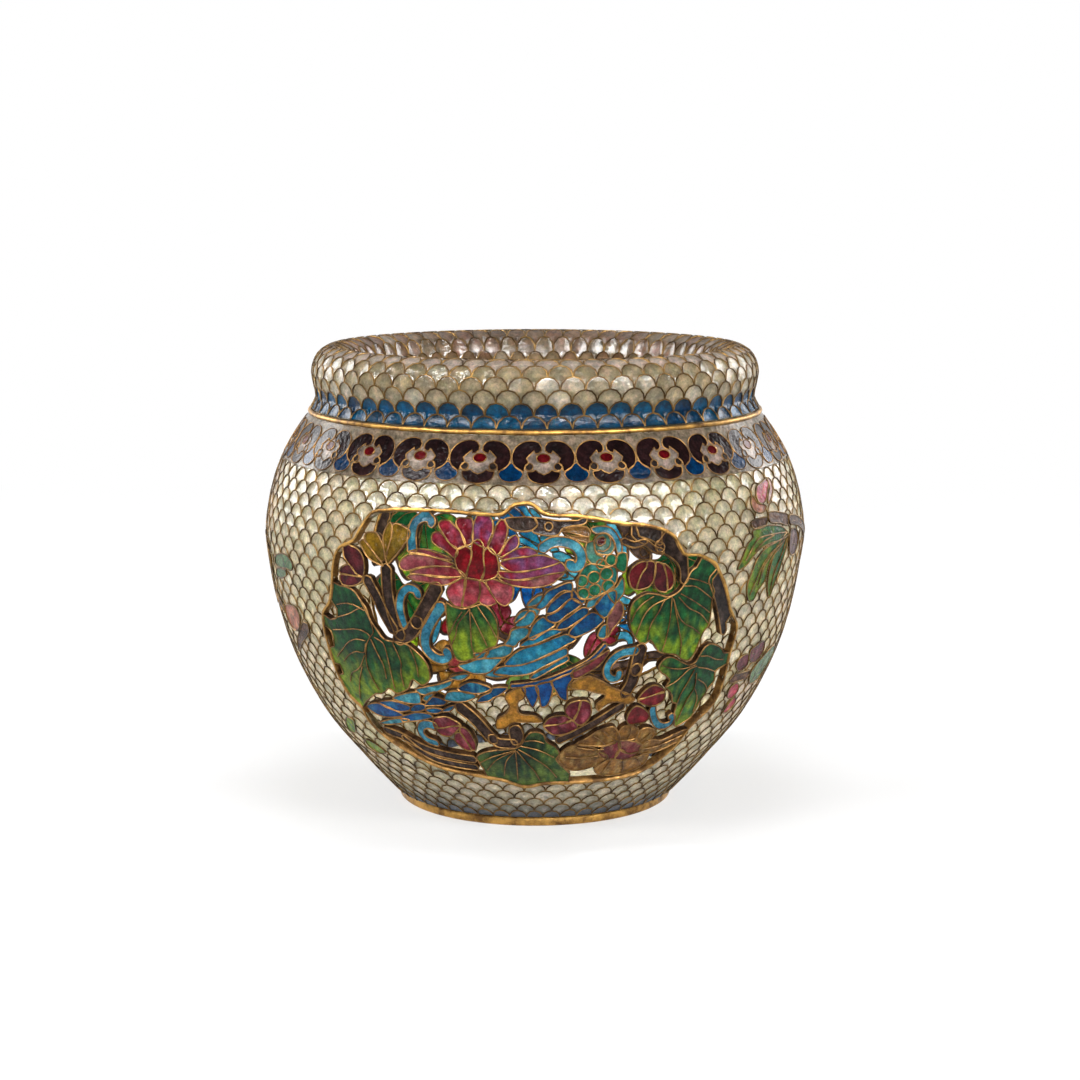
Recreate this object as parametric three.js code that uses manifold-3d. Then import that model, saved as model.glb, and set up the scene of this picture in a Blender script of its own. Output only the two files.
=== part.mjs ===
// Small round enamel jar with a rolled rim, a gilt foot and two pierced bird and flower windows.
// Millimetres, +Z up. The origin is on the table under the middle of the foot, and the first window faces -Y.
import * as THREE from "three";
import { mergeVertices } from "three/addons/utils/BufferGeometryUtils.js";
import Module from "manifold-3d";

// Driving dimensions
const BELLY_RADIUS = 54;
const BELLY_HEIGHT = 54;
const BOTTOM_RADIUS = 28.8;
const NECK_RADIUS = 45.1;
const NECK_HEIGHT = 78.6;
const WALL = 1.2;
const CLEARANCE = 0.3;

const FOOT_HEIGHT = 1.8;
const FOOT_WIDTH = 2.6;
const FOOT_RADIUS = 27.8;
const BASE_THICKNESS = 1.1;

const SHOULDER_BAND_DEPTH = 7.6;
const NECK_WIRE_WIDTH = 1.3;

const COLLAR_HEIGHT = 12.2;
const COLLAR_WAIST = 1.3;
const LIP_WIDTH = 9.2;
const LIP_DROP = 7.5;
const LIP_WIRE_WIDTH = 1.2;

const FRAME_WIDTH = 1.15;
const FRAME_PROUD = 0.25;

const RING_STEPS = 40;
const WALL_ROWS = 8;
const STROKE_STEPS = 1;
const AREA_STEPS = 1;
const EDGE_STEPS = 1;

// Wall outline: heights above the table and radii, from the foot to the neck
const WALL_FOOT = FOOT_HEIGHT + CLEARANCE;
const WALL_POINTS = [
  [WALL_FOOT, BOTTOM_RADIUS],
  [BELLY_HEIGHT * 0.17, BOTTOM_RADIUS + (BELLY_RADIUS - BOTTOM_RADIUS) * 0.25],
  [BELLY_HEIGHT * 0.37, BOTTOM_RADIUS + (BELLY_RADIUS - BOTTOM_RADIUS) * 0.583],
  [BELLY_HEIGHT * 0.65, BOTTOM_RADIUS + (BELLY_RADIUS - BOTTOM_RADIUS) * 0.857],
  [BELLY_HEIGHT, BELLY_RADIUS],
  [BELLY_HEIGHT + (NECK_HEIGHT - BELLY_HEIGHT) * 0.34, NECK_RADIUS + (BELLY_RADIUS - NECK_RADIUS) * 0.9],
  [BELLY_HEIGHT + (NECK_HEIGHT - BELLY_HEIGHT) * 0.62, NECK_RADIUS + (BELLY_RADIUS - NECK_RADIUS) * 0.65],
  [BELLY_HEIGHT + (NECK_HEIGHT - BELLY_HEIGHT) * 0.82, NECK_RADIUS + (BELLY_RADIUS - NECK_RADIUS) * 0.35],
  [NECK_HEIGHT, NECK_RADIUS],
];

// The windows are drawn on a jar 54 wide from axis to belly and 78.6 high to the neck, and follow the real one's size
const ACROSS = BELLY_RADIUS / 54;
const UP = NECK_HEIGHT / 78.6;

// Window edge: the middle line of the gilt frame, as distance round the belly and height
const WINDOW_EDGE = [
  [-20, 65.3], [-10, 65], [-6, 65.1], [-3.8, 66.7], [-0.6, 66.9], [1.8, 65.2], [9, 64.6], [16, 63.2], [22, 62.4],
  [26.5, 60.5], [28.6, 57], [32, 56.3], [35.5, 54.6], [38, 51.5], [40, 48], [41.6, 44.6], [44.3, 41.2], [44.1, 36],
  [44.8, 30], [44.9, 26.2], [42.6, 23.4], [40, 21.4], [37.8, 17], [34.6, 13.8], [30, 11.6], [22, 11], [12, 10.9],
  [3, 10.9], [-3, 10.1], [-9, 11.6], [-17, 12.5], [-26, 13.5], [-33, 15.8], [-39.5, 19], [-42.7, 22], [-43, 24.6],
  [-45.8, 26.8], [-47, 31], [-47.4, 38], [-46.8, 43.3], [-44, 46], [-42.5, 49.5], [-41.3, 54], [-39.6, 57],
  [-36, 58.8], [-34.6, 61.2], [-32, 64.2],
];

// Window pieces, as distance round the belly and height, in the order in which they keep their full shape.
// An area is a closed outline, a stroke a middle line with its width.
const area = (...points) => ({ points });
const stroke = (width, ...points) => ({ width, points });
const WINDOW_PIECES = {
  bird_head: [
    area([5, 62.1], [7.5, 62.8], [10.5, 62.8], [13.5, 62.6], [15.3, 61], [16, 59], [15.6, 57.4], [14.8, 55.8],
      [15.3, 54], [15, 52], [12.6, 50.2], [9.5, 49.8], [8, 51.5], [8.2, 54], [9.4, 56], [9.3, 59.4], [8, 60.8]),
    stroke(1.3, [1.5, 59], [3.2, 60.1], [5.6, 60.1], [7.6, 59.2], [8.6, 57.5], [8.2, 55.7], [6.8, 55.3], [6.1, 56.3]),
  ],
  bird_wing: [
    area([7.8, 51.4], [4, 52], [1.6, 50.4], [-1.2, 49.1], [-3.2, 47], [-4.6, 43.8], [-6.4, 41.2], [-9, 39.8],
      [-11.6, 38.8], [-12, 37.6], [-14.8, 36.6], [-12.6, 35.1], [-9, 35.2], [-4.4, 34.8], [-1.4, 34.5], [1.5, 35.4],
      [5, 37], [7.2, 39.5], [9.8, 42.4], [12.4, 44.6], [12.3, 46.6], [10.2, 48.4]),
  ],
  bird_breast: [
    area([12.6, 49.9], [15, 51.4], [16.2, 53.4], [16.3, 48], [16.2, 44.4], [15.2, 41.8], [13.4, 41.2], [12.2, 42.4],
      [13.4, 44.4], [13.2, 46.6], [11.2, 48.6]),
  ],
  bird_tail: [
    area([-10.6, 34.6], [-14, 34.4], [-18, 33.2], [-22.6, 31.2], [-28.5, 29.3], [-35, 27.4], [-40.6, 25.8],
      [-40.3, 24.2], [-36.6, 22], [-31, 23], [-24.4, 24.9], [-18.6, 27], [-12, 28.4], [-8.2, 29.4], [-6.4, 31],
      [-5, 32.4]),
  ],
  bird_belly: [
    stroke(0.9, [-4.4, 32.8], [-1, 33], [3, 34.1], [7.5, 35.6], [11, 37.4], [13.8, 40.2]),
    area([-3.2, 32.9], [0, 33], [3, 33.8], [7.6, 35.4], [6.8, 32.4], [6.5, 29.8], [5, 30.2], [3.9, 31.4], [2.8, 28.6],
      [1.4, 28.5], [0.6, 31], [-0.6, 28.5], [-1.9, 30.2]),
    area([7.4, 35.2], [10, 36.2], [12.6, 38.4], [14.6, 39.6], [13.4, 36.8], [12, 34.8], [13.4, 33], [17, 31.2],
      [20.6, 29.6], [20, 28.4], [17, 29], [15, 28.5], [13.5, 27.4], [13, 28.6], [14.6, 30.4], [12.5, 31.3],
      [9.5, 32.2], [7.2, 33]),
    area([-5.8, 30.4], [-4, 32.1], [-1.9, 32.5], [-2, 30.4], [-3.1, 29.6], [-3.5, 28], [-2.8, 27.1], [0, 26.6],
      [1.5, 25.3], [-2, 25.3], [-4.6, 25.1], [-6.5, 24], [-8.4, 24], [-8, 25.8], [-6.2, 26.8], [-5.2, 28.4]),
  ],
  blossom_rose: [
    area([-25.4, 55.2], [-23.4, 57.4], [-20.4, 58.2], [-18.4, 57.8], [-19.1, 60], [-18.8, 61.4], [-17.6, 61.6],
      [-18, 63], [-16.8, 63.7], [-14.8, 63.6], [-13.6, 64.2], [-11.4, 63.9], [-9.8, 64.6], [-8, 64.2], [-7.2, 63.2],
      [-5.8, 64], [-4.9, 62], [-3.4, 61.4], [-2.8, 59.4], [-0.4, 59.2], [0.6, 57.8], [4.2, 57.1], [5.6, 55],
      [3.9, 53.2], [0, 52], [-3.8, 52], [-4.2, 49.6], [-5.8, 48.4], [-7.4, 48.9], [-9, 48.2], [-11, 48.5],
      [-13.6, 47.8], [-15.4, 48.7], [-16.3, 51.2], [-18.4, 51.6], [-21, 52], [-23.9, 52.9], [-23.6, 54]),
    stroke(1.05, [-22.9, 57.6], [-23.2, 61], [-22.6, 63.2], [-21, 64.1], [-19.5, 63.7], [-19.3, 62.8]),
  ],
  leaf_middle: [
    area([-16.5, 48], [-16.7, 43], [-15.9, 39.4], [-14.6, 37.8], [-12, 38.6], [-9.8, 40.2], [-7.3, 41], [-6.8, 43.5],
      [-7.5, 46.6], [-9.6, 48.1], [-13, 47.6]),
    stroke(1.5, [-18.2, 47.4], [-20, 44.8], [-21.2, 42], [-21.3, 39.8], [-19.8, 37.9], [-17.8, 37.7], [-15.4, 39.2]),
  ],
  leaf_left: [
    area([-42, 48], [-39.4, 49.5], [-36.6, 49], [-34.5, 47], [-32.6, 43.2], [-30, 40.3], [-26, 40], [-22.7, 37.6],
      [-21.3, 34.6], [-23.4, 32], [-25.6, 32.8], [-28, 30.2], [-31, 30], [-34.6, 29], [-38.4, 27.8], [-41.8, 25.6],
      [-44.6, 27.2], [-45.3, 31], [-45.4, 36], [-46, 41], [-42.7, 43.4]),
  ],
  leaf_right_upper: [
    area([30.4, 53.4], [32.5, 54.5], [34.6, 54.2], [35.7, 52.4], [35.6, 50], [36.4, 48.6], [36.1, 46], [36, 43],
      [34.8, 40.7], [33.8, 37.8], [32.2, 36.1], [30, 37], [27, 38], [24.3, 39.4], [22.6, 41.2], [21.2, 40.4],
      [19.6, 41.9], [18.3, 44], [18, 47], [18.9, 48.8], [21.3, 49.8], [26, 49.2], [28.5, 50.6], [29.5, 52]),
    stroke(1.7, [35.4, 49.6], [37.2, 47.8], [38.2, 45.4], [38.6, 42.4], [39.6, 39.6]),
  ],
  leaf_right_lower: [
    area([25.6, 35.4], [27, 37], [29, 36.8], [31.5, 35.3], [34, 35.2], [35.3, 36.8], [37.2, 38.6], [40, 38],
      [42.3, 36.4], [43.2, 34.5], [41.6, 32.6], [41.4, 30.5], [40, 28], [39, 25.4], [37.9, 23.4], [36, 22.3],
      [34.2, 22.4], [33.3, 24.3], [32.6, 26.5], [31, 27.7], [29.8, 29.5], [28.1, 31], [28.6, 32.3], [27.2, 33.5]),
  ],
  leaf_bottom: [
    area([-14.4, 16.6], [-12, 18.2], [-7.5, 18.9], [-4, 19.8], [-2.3, 21.8], [-0.5, 23], [1.7, 22.7], [2.8, 21],
      [5, 19.6], [6, 18], [5.2, 17], [6.7, 15.5], [8.5, 14], [9.6, 12.8], [7.6, 11.8], [3, 11.6], [-2, 11.2],
      [-5, 11.6], [-8, 12.4], [-11.5, 13.4], [-13.8, 14.6]),
  ],
  blossom_amber: [
    area([5.8, 17], [7.2, 19.2], [10, 20.2], [12, 21.6], [14.5, 23.2], [18, 23.7], [19.3, 22.4], [20.7, 23.5],
      [23.3, 23.3], [24.6, 22], [26.3, 22.7], [28.7, 21.8], [29.2, 19.7], [32, 19.2], [35.5, 20.2], [39.2, 20.6],
      [39.4, 19], [36, 17.2], [31.4, 16.3], [30.4, 15], [29.6, 13.2], [26, 12.5], [20, 12.1], [16.3, 13.4],
      [11.5, 13.8], [8, 14.5]),
  ],
  bud_amber: [
    area([-28.7, 54.8], [-32, 55.7], [-34.4, 58.3], [-33.5, 60.3], [-31, 60.5], [-29.7, 59.4], [-29.3, 60.8],
      [-28, 62.5], [-25, 62], [-23.9, 60.6], [-24.7, 58.5], [-26.7, 56]),
  ],
  bud_maroon: [
    area([-33.6, 51.8], [-33.3, 54.5], [-35, 57.3], [-37.8, 57.3], [-38.6, 55.5], [-37.6, 54], [-39.6, 53], [-40, 51],
      [-38, 49.9], [-35.3, 50.5]),
  ],
  bud_round: [
    area([17.4, 53.5], [18.5, 55.5], [21, 56.2], [23.5, 56.1], [25.8, 54.5], [26.7, 52.5], [26.2, 50.6], [24.5, 49.8],
      [22.4, 50.4], [20.6, 50.6], [18.6, 50.8], [17.6, 52]),
  ],
  buds_red: [
    area([22, 29], [23.5, 31], [26, 31.7], [28.2, 30.5], [28.6, 28.5], [27, 27], [24.8, 27.3], [23, 28.1]),
    area([20.4, 25], [21.2, 27], [22.7, 27.9], [25.4, 27.6], [26.3, 25.4], [25, 23.9], [22.5, 23.6]),
    stroke(1.2, [26, 26.6], [27.2, 24.8], [29, 22.9], [31, 22.4], [32.4, 22.9], [32.6, 24.2], [31.6, 24.6]),
  ],
  buds_middle: [
    area([1.8, 24.4], [3, 26], [5.5, 26.7], [6.5, 27.5], [7.2, 29], [9.5, 29.7], [11.7, 29], [12, 27], [11, 25],
      [9.5, 24], [8, 22.9], [5, 22.4], [3, 23]),
  ],
  buds_pink: [
    area([-23.1, 23.2], [-22.5, 24.9], [-19.5, 25.6], [-17.5, 25], [-15, 23.2], [-14.1, 21], [-13.9, 19.1],
      [-15.7, 18.5], [-17.6, 19.1], [-18.5, 21], [-18.9, 22], [-21, 21.6], [-22.6, 22.2]),
    stroke(1.3, [-22.8, 22.9], [-25, 23.3], [-26.8, 22.4], [-27.2, 21], [-25.8, 19.7], [-23.4, 19.5]),
  ],
  branch_left: [
    stroke(2, [-28.4, 54.2], [-28.5, 50], [-28, 46], [-26.6, 41.5]),
    stroke(1.7, [-33, 51.6], [-31.2, 48.6], [-29.8, 45.5], [-28, 42.4]),
    stroke(2.1, [-27.4, 40.8], [-24.8, 42], [-22.5, 44.6], [-20.5, 47.6], [-18.2, 51.4]),
    stroke(1.1, [-25.6, 43], [-26.1, 46.6], [-25.5, 49.4], [-24, 50.8], [-22.4, 50.5], [-21.9, 49.4]),
  ],
  branch_top: [
    area([-5.4, 64.3], [0, 64.5], [4.6, 63.9], [9.8, 63.8], [9, 63.2], [5, 62.6], [4.4, 61.4], [1.6, 61.4], [-1, 62],
      [-4, 61.9], [-5, 62.8]),
  ],
  branch_right_top: [
    stroke(2.6, [16.6, 61], [19.4, 60.4], [22.5, 59.3], [25.4, 57.9], [27.6, 56.2], [28.6, 54.4], [28.9, 51.6]),
  ],
  branch_right: [
    stroke(2.6, [21, 39.6], [20.5, 37.5], [20.3, 35], [19.8, 32.5], [18.8, 30.6]),
    stroke(1.3, [20.6, 39], [17, 38.7], [14.9, 37.2], [14.4, 35.3], [15.3, 34], [16.8, 34], [17, 35.1]),
  ],
  branch_low: [
    stroke(1.4, [5.4, 21.2], [8, 22.2], [11, 23.6], [14, 25.2], [17, 27], [18.8, 28]),
  ],
  branch_middle: [
    stroke(2.4, [-16, 28], [-13, 25.4], [-10.4, 22.2], [-8.4, 20.6], [-4.6, 20.4]),
    area([-5.6, 23.6], [-3.6, 24.4], [-2.5, 22.5], [-3.3, 20.4], [-5.6, 20]),
  ],
  branch_bottom: [
    stroke(1.6, [-38, 20.6], [-33.5, 19.9], [-28, 17.9], [-24, 17.1], [-19, 16.6], [-15.4, 16.4]),
    stroke(1.4, [-33, 19.6], [-30, 17.2], [-27, 15.7], [-22.5, 14.9], [-15.4, 14.4]),
  ],
};

// Colours and finishes
const finish = (color, roughness, metalness) => () =>
  new THREE.MeshStandardMaterial({ color, roughness, metalness });
const gilt = finish(0xc8963c, 0.3, 0.9);
const clearEnamel = finish(0xafa894, 0.25, 0);
const ruyiEnamel = finish(0x4a2a2c, 0.25, 0);
const ENAMELS = {
  bird: finish(0x1d6a8c, 0.25, 0),
  blossom_rose: finish(0xa03a50, 0.25, 0),
  blossom_amber: finish(0xa86a28, 0.25, 0),
  leaf: finish(0x3f7a3c, 0.25, 0),
  bud: finish(0x7d2b3c, 0.25, 0),
  buds: finish(0x9c3c50, 0.25, 0),
  branch: finish(0x4b3737, 0.25, 0),
};
const enamelFor = (piece) => ENAMELS[Object.keys(ENAMELS).find((key) => piece.startsWith(key))];

const wasm = await Module();
wasm.setup();

const jar = new THREE.Group();

function addMesh(name, geometry, material) {
  const mesh = new THREE.Mesh(geometry, material());
  mesh.name = name;
  jar.add(mesh);
}

// A closed geometry as a solid that can be cut and joined
function solidOf(geometry) {
  const bare = new THREE.BufferGeometry();
  bare.setAttribute("position", geometry.getAttribute("position"));
  bare.setIndex(geometry.getIndex());
  const merged = mergeVertices(bare, 1e-4);
  return new wasm.Manifold(new wasm.Mesh({
    numProp: 3,
    vertProperties: merged.attributes.position.array,
    triVerts: new Uint32Array(merged.index.array),
  }));
}

function geometryOf(solid) {
  const { numProp, numVert, vertProperties, triVerts } = solid.getMesh();
  const corners = new Float32Array(numVert * 3);
  for (let i = 0; i < numVert; i++) corners.set(vertProperties.subarray(i * numProp, i * numProp + 3), i * 3);
  return new THREE.BufferGeometry()
    .setAttribute("position", new THREE.BufferAttribute(corners, 3))
    .setIndex(new THREE.BufferAttribute(new Uint32Array(triVerts), 1));
}

// A ring turned about Z from a closed section of radius and height pairs
function turned(section) {
  const loop = section.map(([radius, height]) => new THREE.Vector2(radius, height));
  loop.push(loop[0].clone());
  return new THREE.LatheGeometry(loop, RING_STEPS).rotateX(Math.PI / 2);
}

// Radius of the wall's outer face at a height, on a smooth line through the wall points
function wallRadius(height) {
  const last = WALL_POINTS.length - 1;
  let i = 0;
  while (i < last - 1 && height > WALL_POINTS[i + 1][0]) i++;
  const slope = (k) => {
    const [a, b] = [WALL_POINTS[Math.max(k - 1, 0)], WALL_POINTS[Math.min(k + 1, last)]];
    return (b[1] - a[1]) / (b[0] - a[0]);
  };
  const [[z0, r0], [z1, r1]] = [WALL_POINTS[i], WALL_POINTS[i + 1]];
  const step = z1 - z0;
  const t = (height - z0) / step;
  return r0 * (1 + 2 * t) * (1 - t) ** 2 + slope(i) * step * t * (1 - t) ** 2
    + r1 * t * t * (3 - 2 * t) + slope(i + 1) * step * t * t * (t - 1);
}

// A shell that follows the wall between two heights, from an inner to an outer distance off its outer face
function wallShell(low, high, inner, outer, rows) {
  const heights = Array.from({ length: rows + 1 }, (_, i) => low + (high - low) * i / rows);
  const outside = heights.map((z) => [wallRadius(z) + outer, z]);
  const inside = heights.map((z) => [wallRadius(z) + inner, z]).reverse();
  return turned([...outside, ...inside]);
}

// A smooth line through drawn points, at the jar's size
function curveThrough(points, closed) {
  const corners = points.map(([u, z]) => new THREE.Vector3(u * ACROSS, z * UP, 0));
  return new THREE.CatmullRomCurve3(corners, closed, "centripetal");
}

// Closed smooth outline through the points of an area
function smooth(points, steps) {
  const curve = curveThrough(points, true);
  return curve.getPoints(points.length * steps).slice(0, -1).map(({ x, y }) => [x, y]);
}

// Both sides of a stroke with round ends, as one closed outline
function strokeOutline({ width, points }) {
  const curve = curveThrough(points, false);
  const half = width * ACROSS / 2;
  const steps = (points.length - 1) * STROKE_STEPS;
  const left = [];
  const right = [];
  for (let i = 0; i <= steps; i++) {
    const { x, y } = curve.getPoint(i / steps);
    const along = curve.getTangent(i / steps);
    left.push([x - along.y * half, y + along.x * half]);
    right.push([x + along.y * half, y - along.x * half]);
  }
  const [first, final] = [curve.getTangent(0), curve.getTangent(1)];
  const [start, end] = [curve.getPoint(0), curve.getPoint(1)];
  const nose = ({ x, y }, along, way) => [x + along.x * way * half, y + along.y * way * half];
  return [...right, nose(end, final, 1), ...left.reverse(), nose(start, first, -1)];
}

const outlineOf = (shape) => (shape.width ? strokeOutline(shape) : smooth(shape.points, AREA_STEPS));

function counterClockwise(outline) {
  const contour = outline.map(([u, z]) => new THREE.Vector2(u, z));
  return THREE.ShapeUtils.isClockWise(contour) ? outline.slice().reverse() : outline;
}

// The outline moved outwards by a distance, or inwards by a negative one
function grown(outline, distance) {
  const ring = counterClockwise(outline);
  return ring.map(([u, z], i) => {
    const before = ring[(i + ring.length - 1) % ring.length];
    const after = ring[(i + 1) % ring.length];
    const along = new THREE.Vector2(after[0] - before[0], after[1] - before[1]).normalize();
    return [u + along.y * distance, z - along.x * distance];
  });
}

// A solid that runs straight out from the jar's axis through an outline on its wall
function wedge(outline) {
  const near = WALL * 10;
  const far = BELLY_RADIUS * 2.2;
  const ring = counterClockwise(outline);
  const count = ring.length;
  const corners = new Float32Array(count * 6);
  ring.forEach(([u, z], i) => {
    const angle = u / BELLY_RADIUS;
    corners.set([far * Math.sin(angle), -far * Math.cos(angle), z], i * 3);
    corners.set([near * Math.sin(angle), -near * Math.cos(angle), z], (count + i) * 3);
  });
  const faces = [];
  for (const [a, b, c] of THREE.ShapeUtils.triangulateShape(ring.map(([u, z]) => new THREE.Vector2(u, z)), [])) {
    faces.push(a, b, c, count + c, count + b, count + a);
  }
  for (let i = 0; i < count; i++) {
    const j = (i + 1) % count;
    faces.push(j, i, count + i, j, count + i, count + j);
  }
  return solidOf(new THREE.BufferGeometry()
    .setAttribute("position", new THREE.BufferAttribute(corners, 3))
    .setIndex(faces));
}

// Foot ring and base
const footSection = [
  [FOOT_RADIUS - FOOT_WIDTH, 0], [FOOT_RADIUS - FOOT_HEIGHT / 6, 0], [FOOT_RADIUS, FOOT_HEIGHT / 3],
  [FOOT_RADIUS, FOOT_HEIGHT * 2 / 3], [FOOT_RADIUS - FOOT_HEIGHT / 6, FOOT_HEIGHT],
  [FOOT_RADIUS - FOOT_WIDTH, FOOT_HEIGHT],
];
addMesh("foot_ring", turned(footSection), gilt);

const baseRadius = BOTTOM_RADIUS - WALL * 1.17 - CLEARANCE;
addMesh("base_disc", new THREE.LatheGeometry([
  [0, WALL_FOOT], [baseRadius, WALL_FOOT], [baseRadius, WALL_FOOT + BASE_THICKNESS], [0, WALL_FOOT + BASE_THICKNESS],
].map(([radius, height]) => new THREE.Vector2(radius, height)), RING_STEPS).rotateX(Math.PI / 2), clearEnamel);

// Wall with its two windows, and the shoulder band above it
const bandTop = NECK_HEIGHT - NECK_WIRE_WIDTH / 2 - CLEARANCE;
const bandFoot = bandTop - SHOULDER_BAND_DEPTH;
const wallTop = bandFoot - CLEARANCE;
const windowEdge = smooth(WINDOW_EDGE, EDGE_STEPS);
const frameOuter = grown(windowEdge, FRAME_WIDTH / 2);
const frameInner = grown(windowEdge, -FRAME_WIDTH / 2);
const windowHole = wedge(grown(windowEdge, FRAME_WIDTH / 2 + CLEARANCE));
const windowClear = wedge(grown(windowEdge, -FRAME_WIDTH / 2 - CLEARANCE));

const halfTurn = (geometry) => geometry.clone().rotateZ(Math.PI);
let wall = solidOf(wallShell(WALL_FOOT, wallTop, -WALL, 0, WALL_ROWS)).subtract(windowHole);
wall = solidOf(halfTurn(geometryOf(wall))).subtract(windowHole);
addMesh("body_wall", geometryOf(wall), clearEnamel);
addMesh("shoulder_band", wallShell(bandFoot, bandTop, -WALL, 0, 2), ruyiEnamel);

// Gilt wire round the neck
const wireSides = 6;
const roundSection = (radius, height, width) => Array.from({ length: wireSides }, (_, i) => {
  const angle = (i + 0.5) * 2 * Math.PI / wireSides;
  return [radius + Math.cos(angle) * width / 2, height + Math.sin(angle) * width / 2];
});
addMesh("neck_wire", turned(roundSection(NECK_RADIUS - WALL / 2, NECK_HEIGHT, NECK_WIRE_WIDTH)), gilt);

// Collar that rolls over the rim and down inside the mouth
const collarFoot = NECK_HEIGHT + NECK_WIRE_WIDTH / 2 + CLEARANCE;
const collarTop = collarFoot + COLLAR_HEIGHT;
const lipMiddle = NECK_RADIUS - COLLAR_WAIST * 0.31 - LIP_WIDTH / 2;
const collarLine = [
  [NECK_RADIUS - COLLAR_WAIST * 0.23, collarFoot], [NECK_RADIUS - COLLAR_WAIST, collarTop - COLLAR_HEIGHT * 0.82],
  [NECK_RADIUS - COLLAR_WAIST * 0.62, collarTop - COLLAR_HEIGHT * 0.61],
  [NECK_RADIUS - COLLAR_WAIST * 0.38, collarTop - COLLAR_HEIGHT * 0.41],
  [NECK_RADIUS - COLLAR_WAIST * 0.77, collarTop - COLLAR_HEIGHT * 0.25],
  [lipMiddle + LIP_WIDTH * 0.31, collarTop - COLLAR_HEIGHT * 0.1], [lipMiddle + LIP_WIDTH * 0.04, collarTop],
  [lipMiddle - LIP_WIDTH * 0.26, collarTop - LIP_DROP * 0.12],
  [lipMiddle - LIP_WIDTH * 0.43, collarTop - LIP_DROP * 0.37],
  [lipMiddle - LIP_WIDTH / 2, collarTop - LIP_DROP * 0.67], [lipMiddle - LIP_WIDTH / 2, collarTop - LIP_DROP],
];
const collarInside = collarLine.map(([radius, height], i) => {
  const [r0, z0] = collarLine[Math.max(i - 1, 0)];
  const [r1, z1] = collarLine[Math.min(i + 1, collarLine.length - 1)];
  const length = Math.hypot(r1 - r0, z1 - z0);
  return [radius - (z1 - z0) / length * WALL, height + (r1 - r0) / length * WALL];
});
collarInside[0][1] = collarFoot;
collarInside[collarLine.length - 1][1] = collarTop - LIP_DROP;
addMesh("rim_collar", turned([...collarLine, ...collarInside.reverse()]), clearEnamel);

const lipWireHeight = collarTop - LIP_DROP - CLEARANCE - LIP_WIRE_WIDTH / 2;
const lipWireRadius = lipMiddle - LIP_WIDTH / 2 + WALL / 2;
addMesh("lip_wire", turned(roundSection(lipWireRadius, lipWireHeight, LIP_WIRE_WIDTH)), gilt);

// Window frames and the pieces inside them
const stock = solidOf(wallShell(WALL_FOOT, wallTop, -WALL, 0, WALL_ROWS));
const frameStock = solidOf(wallShell(WALL_FOOT, wallTop, -WALL - FRAME_PROUD, FRAME_PROUD, WALL_ROWS));
const frame = geometryOf(frameStock.intersect(wedge(frameOuter)).subtract(wedge(frameInner)));
addMesh("front_frame", frame, gilt);
addMesh("back_frame", halfTurn(frame), gilt);

let taken = null;
for (const [name, shapes] of Object.entries(WINDOW_PIECES)) {
  const outlines = shapes.map(outlineOf);
  const together = (distance) => outlines
    .map((outline) => wedge(grown(outline, distance)))
    .reduce((joined, next) => joined.add(next));
  let piece = stock.intersect(together(0)).intersect(windowClear);
  if (taken) piece = piece.subtract(taken);
  const reserved = together(CLEARANCE);
  taken = taken ? taken.add(reserved) : reserved;
  const geometry = geometryOf(piece);
  addMesh("front_" + name, geometry, enamelFor(name));
  addMesh("back_" + name, halfTurn(geometry), enamelFor(name));
}

export default jar;
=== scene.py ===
import bisect
import math
import random

import bmesh
import bpy
from mathutils import Matrix, Vector, noise


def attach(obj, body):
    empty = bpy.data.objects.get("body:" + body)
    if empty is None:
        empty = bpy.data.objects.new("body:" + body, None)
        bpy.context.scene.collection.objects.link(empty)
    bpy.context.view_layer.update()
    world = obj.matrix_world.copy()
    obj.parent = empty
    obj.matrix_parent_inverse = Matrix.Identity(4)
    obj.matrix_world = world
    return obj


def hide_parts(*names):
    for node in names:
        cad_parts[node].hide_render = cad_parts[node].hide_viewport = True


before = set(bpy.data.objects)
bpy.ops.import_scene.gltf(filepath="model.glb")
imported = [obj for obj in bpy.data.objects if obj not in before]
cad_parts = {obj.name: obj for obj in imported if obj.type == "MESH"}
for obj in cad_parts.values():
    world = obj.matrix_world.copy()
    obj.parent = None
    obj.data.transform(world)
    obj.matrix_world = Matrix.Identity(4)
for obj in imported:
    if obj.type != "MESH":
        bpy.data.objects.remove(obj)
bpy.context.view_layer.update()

# Sizes in millimetres, the same as the solid model's
MM = 0.001
BELLY_RADIUS = 54
WALL = 1.2
WALL_LINE = [(28.8, 2.1), (35.1, 9.18), (43.49, 19.98), (50.4, 35.1), (54, 54), (53.11, 62.36),
             (50.9, 69.25), (48.2, 74.17), (45.1, 78.6)]
COLLAR_LINE = [(44.8, 79.55), (43.8, 81.75), (44.3, 84.35), (44.6, 86.75), (44.1, 88.75), (42.95, 90.5),
               (40.47, 91.75), (37.7, 90.85), (36.14, 88.95), (35.5, 86.75), (35.5, 84.25)]
WALL_TOP = 70.02
BAND_FOOT = 70.04
BAND_TOP = 78.4
NECK_WIRE = (44.95, 78.85, 0.48)
LIP_WIRE = (36.1, 83.35, 0.55)
FOOT_OUTSIDE = 27.8
FOOT_HEIGHT = 1.8
FRAME_WIDTH = 0.6
FRAME_PROUD = 0.18

# Scale ground: scales in one turn and rows, from the foot up
WALL_PLAN = [(56, 6), (65, 6), (74, 21)]
WALL_SCALES = 74
COLLAR_SCALES = 60
BLUE_ROWS = 2
GROUND_WIRE = 0.31
WINDOW_WIRE = 0.3
RIB_WIRE = 0.21

# Painted shade darkens the enamel over these widths along its wires and its ribs
RIM = 0.45
RIB_SHADE = 0.95
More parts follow.
